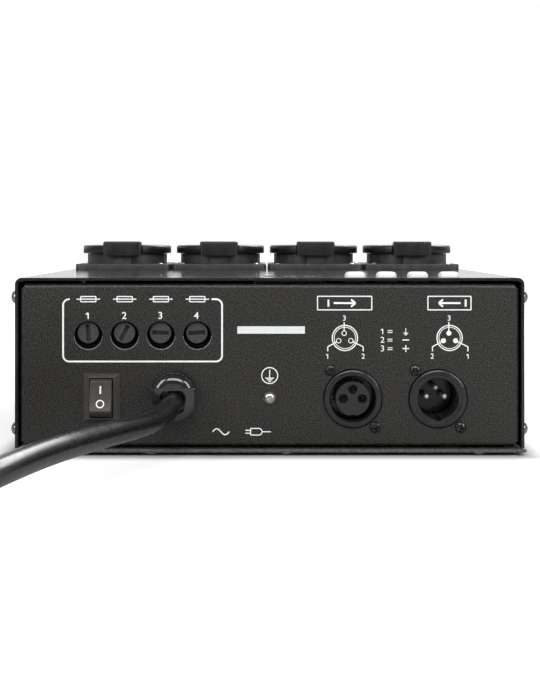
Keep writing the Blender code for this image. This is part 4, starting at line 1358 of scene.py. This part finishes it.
def poleDiagram(x, y, male):
    # the connector's face as a sign: double ring, three poles, a leader and number to each
    drawn = inkLine(ringPoints((x, y), 5.3), printing["fine"], closed=True)
    drawLine(drawn, ringPoints((x, y), 4.5), 0.3, closed=True)
    poles = ((-0.3, 2.0), (-2.6, -1.15), (2.5, -1.15))
    for across, up in poles:
        if male:
            addTo(drawn, disc((x + across, y + up), 1.05))
        else:
            ring = ringPoints((x + across, y + up), 0.95, 24)
            drawLine(drawn, ring, 0.34, closed=True)
    drawLine(drawn, [(x - 0.3, y + 6.6), (x - 0.3, y + 2.9)], printing["fine"])
    for foot, head in ((-7.2, -3.4), (7.7, 3.4)):
        drawLine(drawn, [(x + foot, y - 5.6), (x + foot, y - 3.7), (x + head, y - 1.6)],
            printing["fine"])
    numbers = (3, 2, 1) if male else (3, 1, 2)
    for number, spot in zip(numbers, ((-0.2, 7.3), (-7.3, -8.7), (7.7, -8.7))):
        addTo(drawn, numeral(number, (x + spot[0], y + spot[1]), 2.0, 0.4))
    return drawn


def directionBox(left, right, outward):
    # a framed arrow: out of the case, or into it
    low, high = 61.2, 66.9
    drawn = inkLine([(left, low), (right, low), (right, high), (left, high)], 0.48, closed=True)
    middle, tall = (left + right) / 2, (low + high) / 2
    reach = 4.6
    way = 1 if outward else -1
    drawLine(drawn, [(middle - reach, tall), (middle + reach, tall)], 0.8)
    tip = middle + way * reach
    drawLine(drawn, [(tip - way * 1.9, tall + 1.5), (tip, tall), (tip - way * 1.9, tall - 1.5)], 0.8)
    bar = middle - way * (reach + 2.2)
    drawLine(drawn, [(bar, tall - 1.5), (bar, tall + 1.5)], 0.8)
    return drawn


def earthSign(x, y, size, ringed=True):
    weight = 0.1 * size + 0.1
    drawn = inkLine([(x, y + 0.72 * size), (x, y - 0.32 * size)], weight)
    for row, half in enumerate((0.54, 0.34, 0.15)):
        level = y - (0.32 + 0.21 * row) * size
        drawLine(drawn, [(x - half * size, level), (x + half * size, level)], weight)
    if ringed:
        drawLine(drawn, ringPoints((x, y), size), 0.42, closed=True)
    return drawn


def poleLegend():
    # which pole carries what: earth, minus, plus
    drawn = bmesh.new()
    for row, height in enumerate((51.0, 47.4, 43.8)):
        addTo(drawn, numeral(row + 1, (47.4, height), 2.3, 0.4))
        for up in (0.7, 1.5):
            drawLine(drawn, [(49.5, height + up), (51.6, height + up)], 0.34)
    addTo(drawn, earthSign(57.2, 52.1, 2.0, ringed=False))
    for height, upright in ((48.55, False), (44.95, True)):
        drawLine(drawn, [(55.8, height), (58.6, height)], 0.48)
        if upright:
            drawLine(drawn, [(57.2, height - 1.4), (57.2, height + 1.4)], 0.48)
    return drawn


def mainsSign():
    # alternating current, beside where the cable goes in
    wave = []
    for step in range(25):
        turn = step / 24
        wave.append((-24 + 7 * turn, 10.0 + 1.25 * math.sin(math.tau * turn)))
    drawn = inkLine(wave, 0.55)
    # a plug: its body, two pins and a lead
    body = [(-8.0, 8.6), (-4.6, 8.6)] + arcPoints((-4.6, 10.0), 1.4, 270, 450, 10) + [(-8.0, 11.4)]
    drawLine(drawn, body, 0.42, closed=True)
    for up in (9.4, 10.6):
        drawLine(drawn, [(-10.2, up), (-8.0, up)], 0.42)
    drawLine(drawn, [(-3.2, 10.0), (0.5, 10.0)], 0.42)
    return drawn


def makePrinting(opts):
    white = bmesh.new()
    signs = (fuseFrame(frameBox), poleDiagram(*opts["outputSign"], False),
        poleDiagram(*opts["inputSign"], True), directionBox(*opts["outputArrow"], True),
        directionBox(*opts["inputArrow"], False), earthSign(*opts["earth"]), poleLegend(), mainsSign())
    for drawn in signs:
        addTo(white, drawn)
    finished("panelPrinting", white, ink, onPanel(0, 0))
    finished("blankLabel", slab(*opts["label"], 0.2, 2), paper, onPanel(0, 0))


makePrinting(printing)
print("printing made")


# Floor, light and background

# near and far: metres past the footprint where a lift starts and ends, and how much it adds
studio = {"floor": "#c2c2c2", "footprint": (0.108, 0.1, 0), "near": (0.001, 0.01, 0.65),
    "far": (0.02, 0.6, 0.5), "fill": 0.12, "room": 0.25}
# each lamp's place, aim, size in metres, and watts
lamps = {
    "leftBox": ((-0.6, -0.6, 0.46), (0, -0.08, 0.03), (0.3, 0.6), 3.0),
    "rightBox": ((0.6, -0.6, 0.46), (0, -0.08, 0.03), (0.3, 0.6), 3.0),
    "topBox": ((0, -0.8, 0.7), (0, -0.1, 0.05), (0.7, 0.4), 4.8),
    "backBox": ((0.36, 0.62, 0.66), (-0.03, -0.12, 0.05), (0.8, 0.35), 7.0),
}


def makeFloor(opts):
    # pale, and lifted to white for the camera, but for what lies under the case
    made = bpy.data.materials.new("studioFloor")
    made.use_nodes = True
    tree = made.node_tree
    tree.nodes.clear()
    seen = addNode(tree, "LightPath")
    place = addNode(tree, "TexCoord")
    either = addNode(tree, "VectorMath", {"operation": "ABSOLUTE"}, {0: place.outputs["Object"]})
    beyond = addNode(tree, "VectorMath", {"operation": "SUBTRACT", 1: opts["footprint"]},
        {0: either.outputs[0]})
    outside = addNode(tree, "VectorMath", {"operation": "MAXIMUM"}, {0: beyond.outputs[0]})
    away = addNode(tree, "VectorMath", {"operation": "LENGTH"}, {0: outside.outputs[0]})
    rises = []
    for start, end, level in (opts["near"], opts["far"]):
        rises.append(addNode(tree, "MapRange", {"From Min": start, "From Max": end, "To Max": level},
            {"Value": away.outputs["Value"]}).outputs[0])
    glowing = addNode(tree, "Math", {"operation": "ADD"}, {0: rises[0], 1: rises[1]})
    lift = addNode(tree, "Math", {"operation": "MULTIPLY"},
        {0: glowing.outputs[0], 1: seen.outputs["Is Camera Ray"]})
    dull = addNode(tree, "BsdfDiffuse", {"Color": hexColour(opts["floor"])})
    glow = addNode(tree, "Emission", None, {"Strength": lift.outputs[0]})
    total = addNode(tree, "AddShader", None, {0: dull.outputs[0], 1: glow.outputs[0]})
    addNode(tree, "OutputMaterial", None, {"Surface": total.outputs[0]})
    shape = bmesh.new()
    bmesh.ops.create_grid(shape, x_segments=1, y_segments=1, size=6.0)
    mesh = bpy.data.meshes.new("studioFloor")
    shape.to_mesh(mesh)
    shape.free()
    mesh.materials.append(made)
    floor = newObject("studioFloor", mesh)


def makeWorld(opts):
    # the backdrop is white, and what the case mirrors of the room's other sides is darker
    world = bpy.data.worlds.new("studioWorld")
    world.use_nodes = True
    tree = world.node_tree
    tree.nodes.clear()
    seen = addNode(tree, "LightPath")
    place = addNode(tree, "TexCoord")
    sides = addNode(tree, "SeparateXYZ", None, {"Vector": place.outputs["Generated"]})
    mirrored = addNode(tree, "MapRange", {"From Min": 0.1, "From Max": 0.8, "To Min": opts["room"],
        "To Max": 1.0}, {"Value": sides.outputs["Y"]})
    glossy = addNode(tree, "Math", {"operation": "MULTIPLY"},
        {0: mirrored.outputs[0], 1: seen.outputs["Is Glossy Ray"]})
    clear = addNode(tree, "Math", {"operation": "MAXIMUM"}, {0: seen.outputs["Is Camera Ray"],
        1: seen.outputs["Is Transmission Ray"]})
    shown = addNode(tree, "Math", {"operation": "MAXIMUM"}, {0: clear.outputs[0], 1: glossy.outputs[0]})
    level = addNode(tree, "Math", {"operation": "MAXIMUM", 1: opts["fill"]}, {0: shown.outputs[0]})
    light = addNode(tree, "Background", {"Color": (1, 1, 1, 1)}, {"Strength": level.outputs[0]})
    addNode(tree, "OutputWorld", None, {"Surface": light.outputs[0]})
    bpy.context.scene.world = world


def makeLamp(name, place, aim, size, watts):
    made = bpy.data.lights.new(name, "AREA")
    made.shape = "RECTANGLE"
    made.size, made.size_y = size
    made.energy = watts
    lamp = newObject(name, made)
    lamp.location = place
    lamp.rotation_euler = (Vector(aim) - Vector(place)).to_track_quat("-Z", "Y").to_euler()


makeFloor(studio)
makeWorld(studio)
for name, lamp in lamps.items():
    makeLamp(name, *lamp)
bpy.context.scene.view_settings.view_transform = "Standard"
print("studio made")
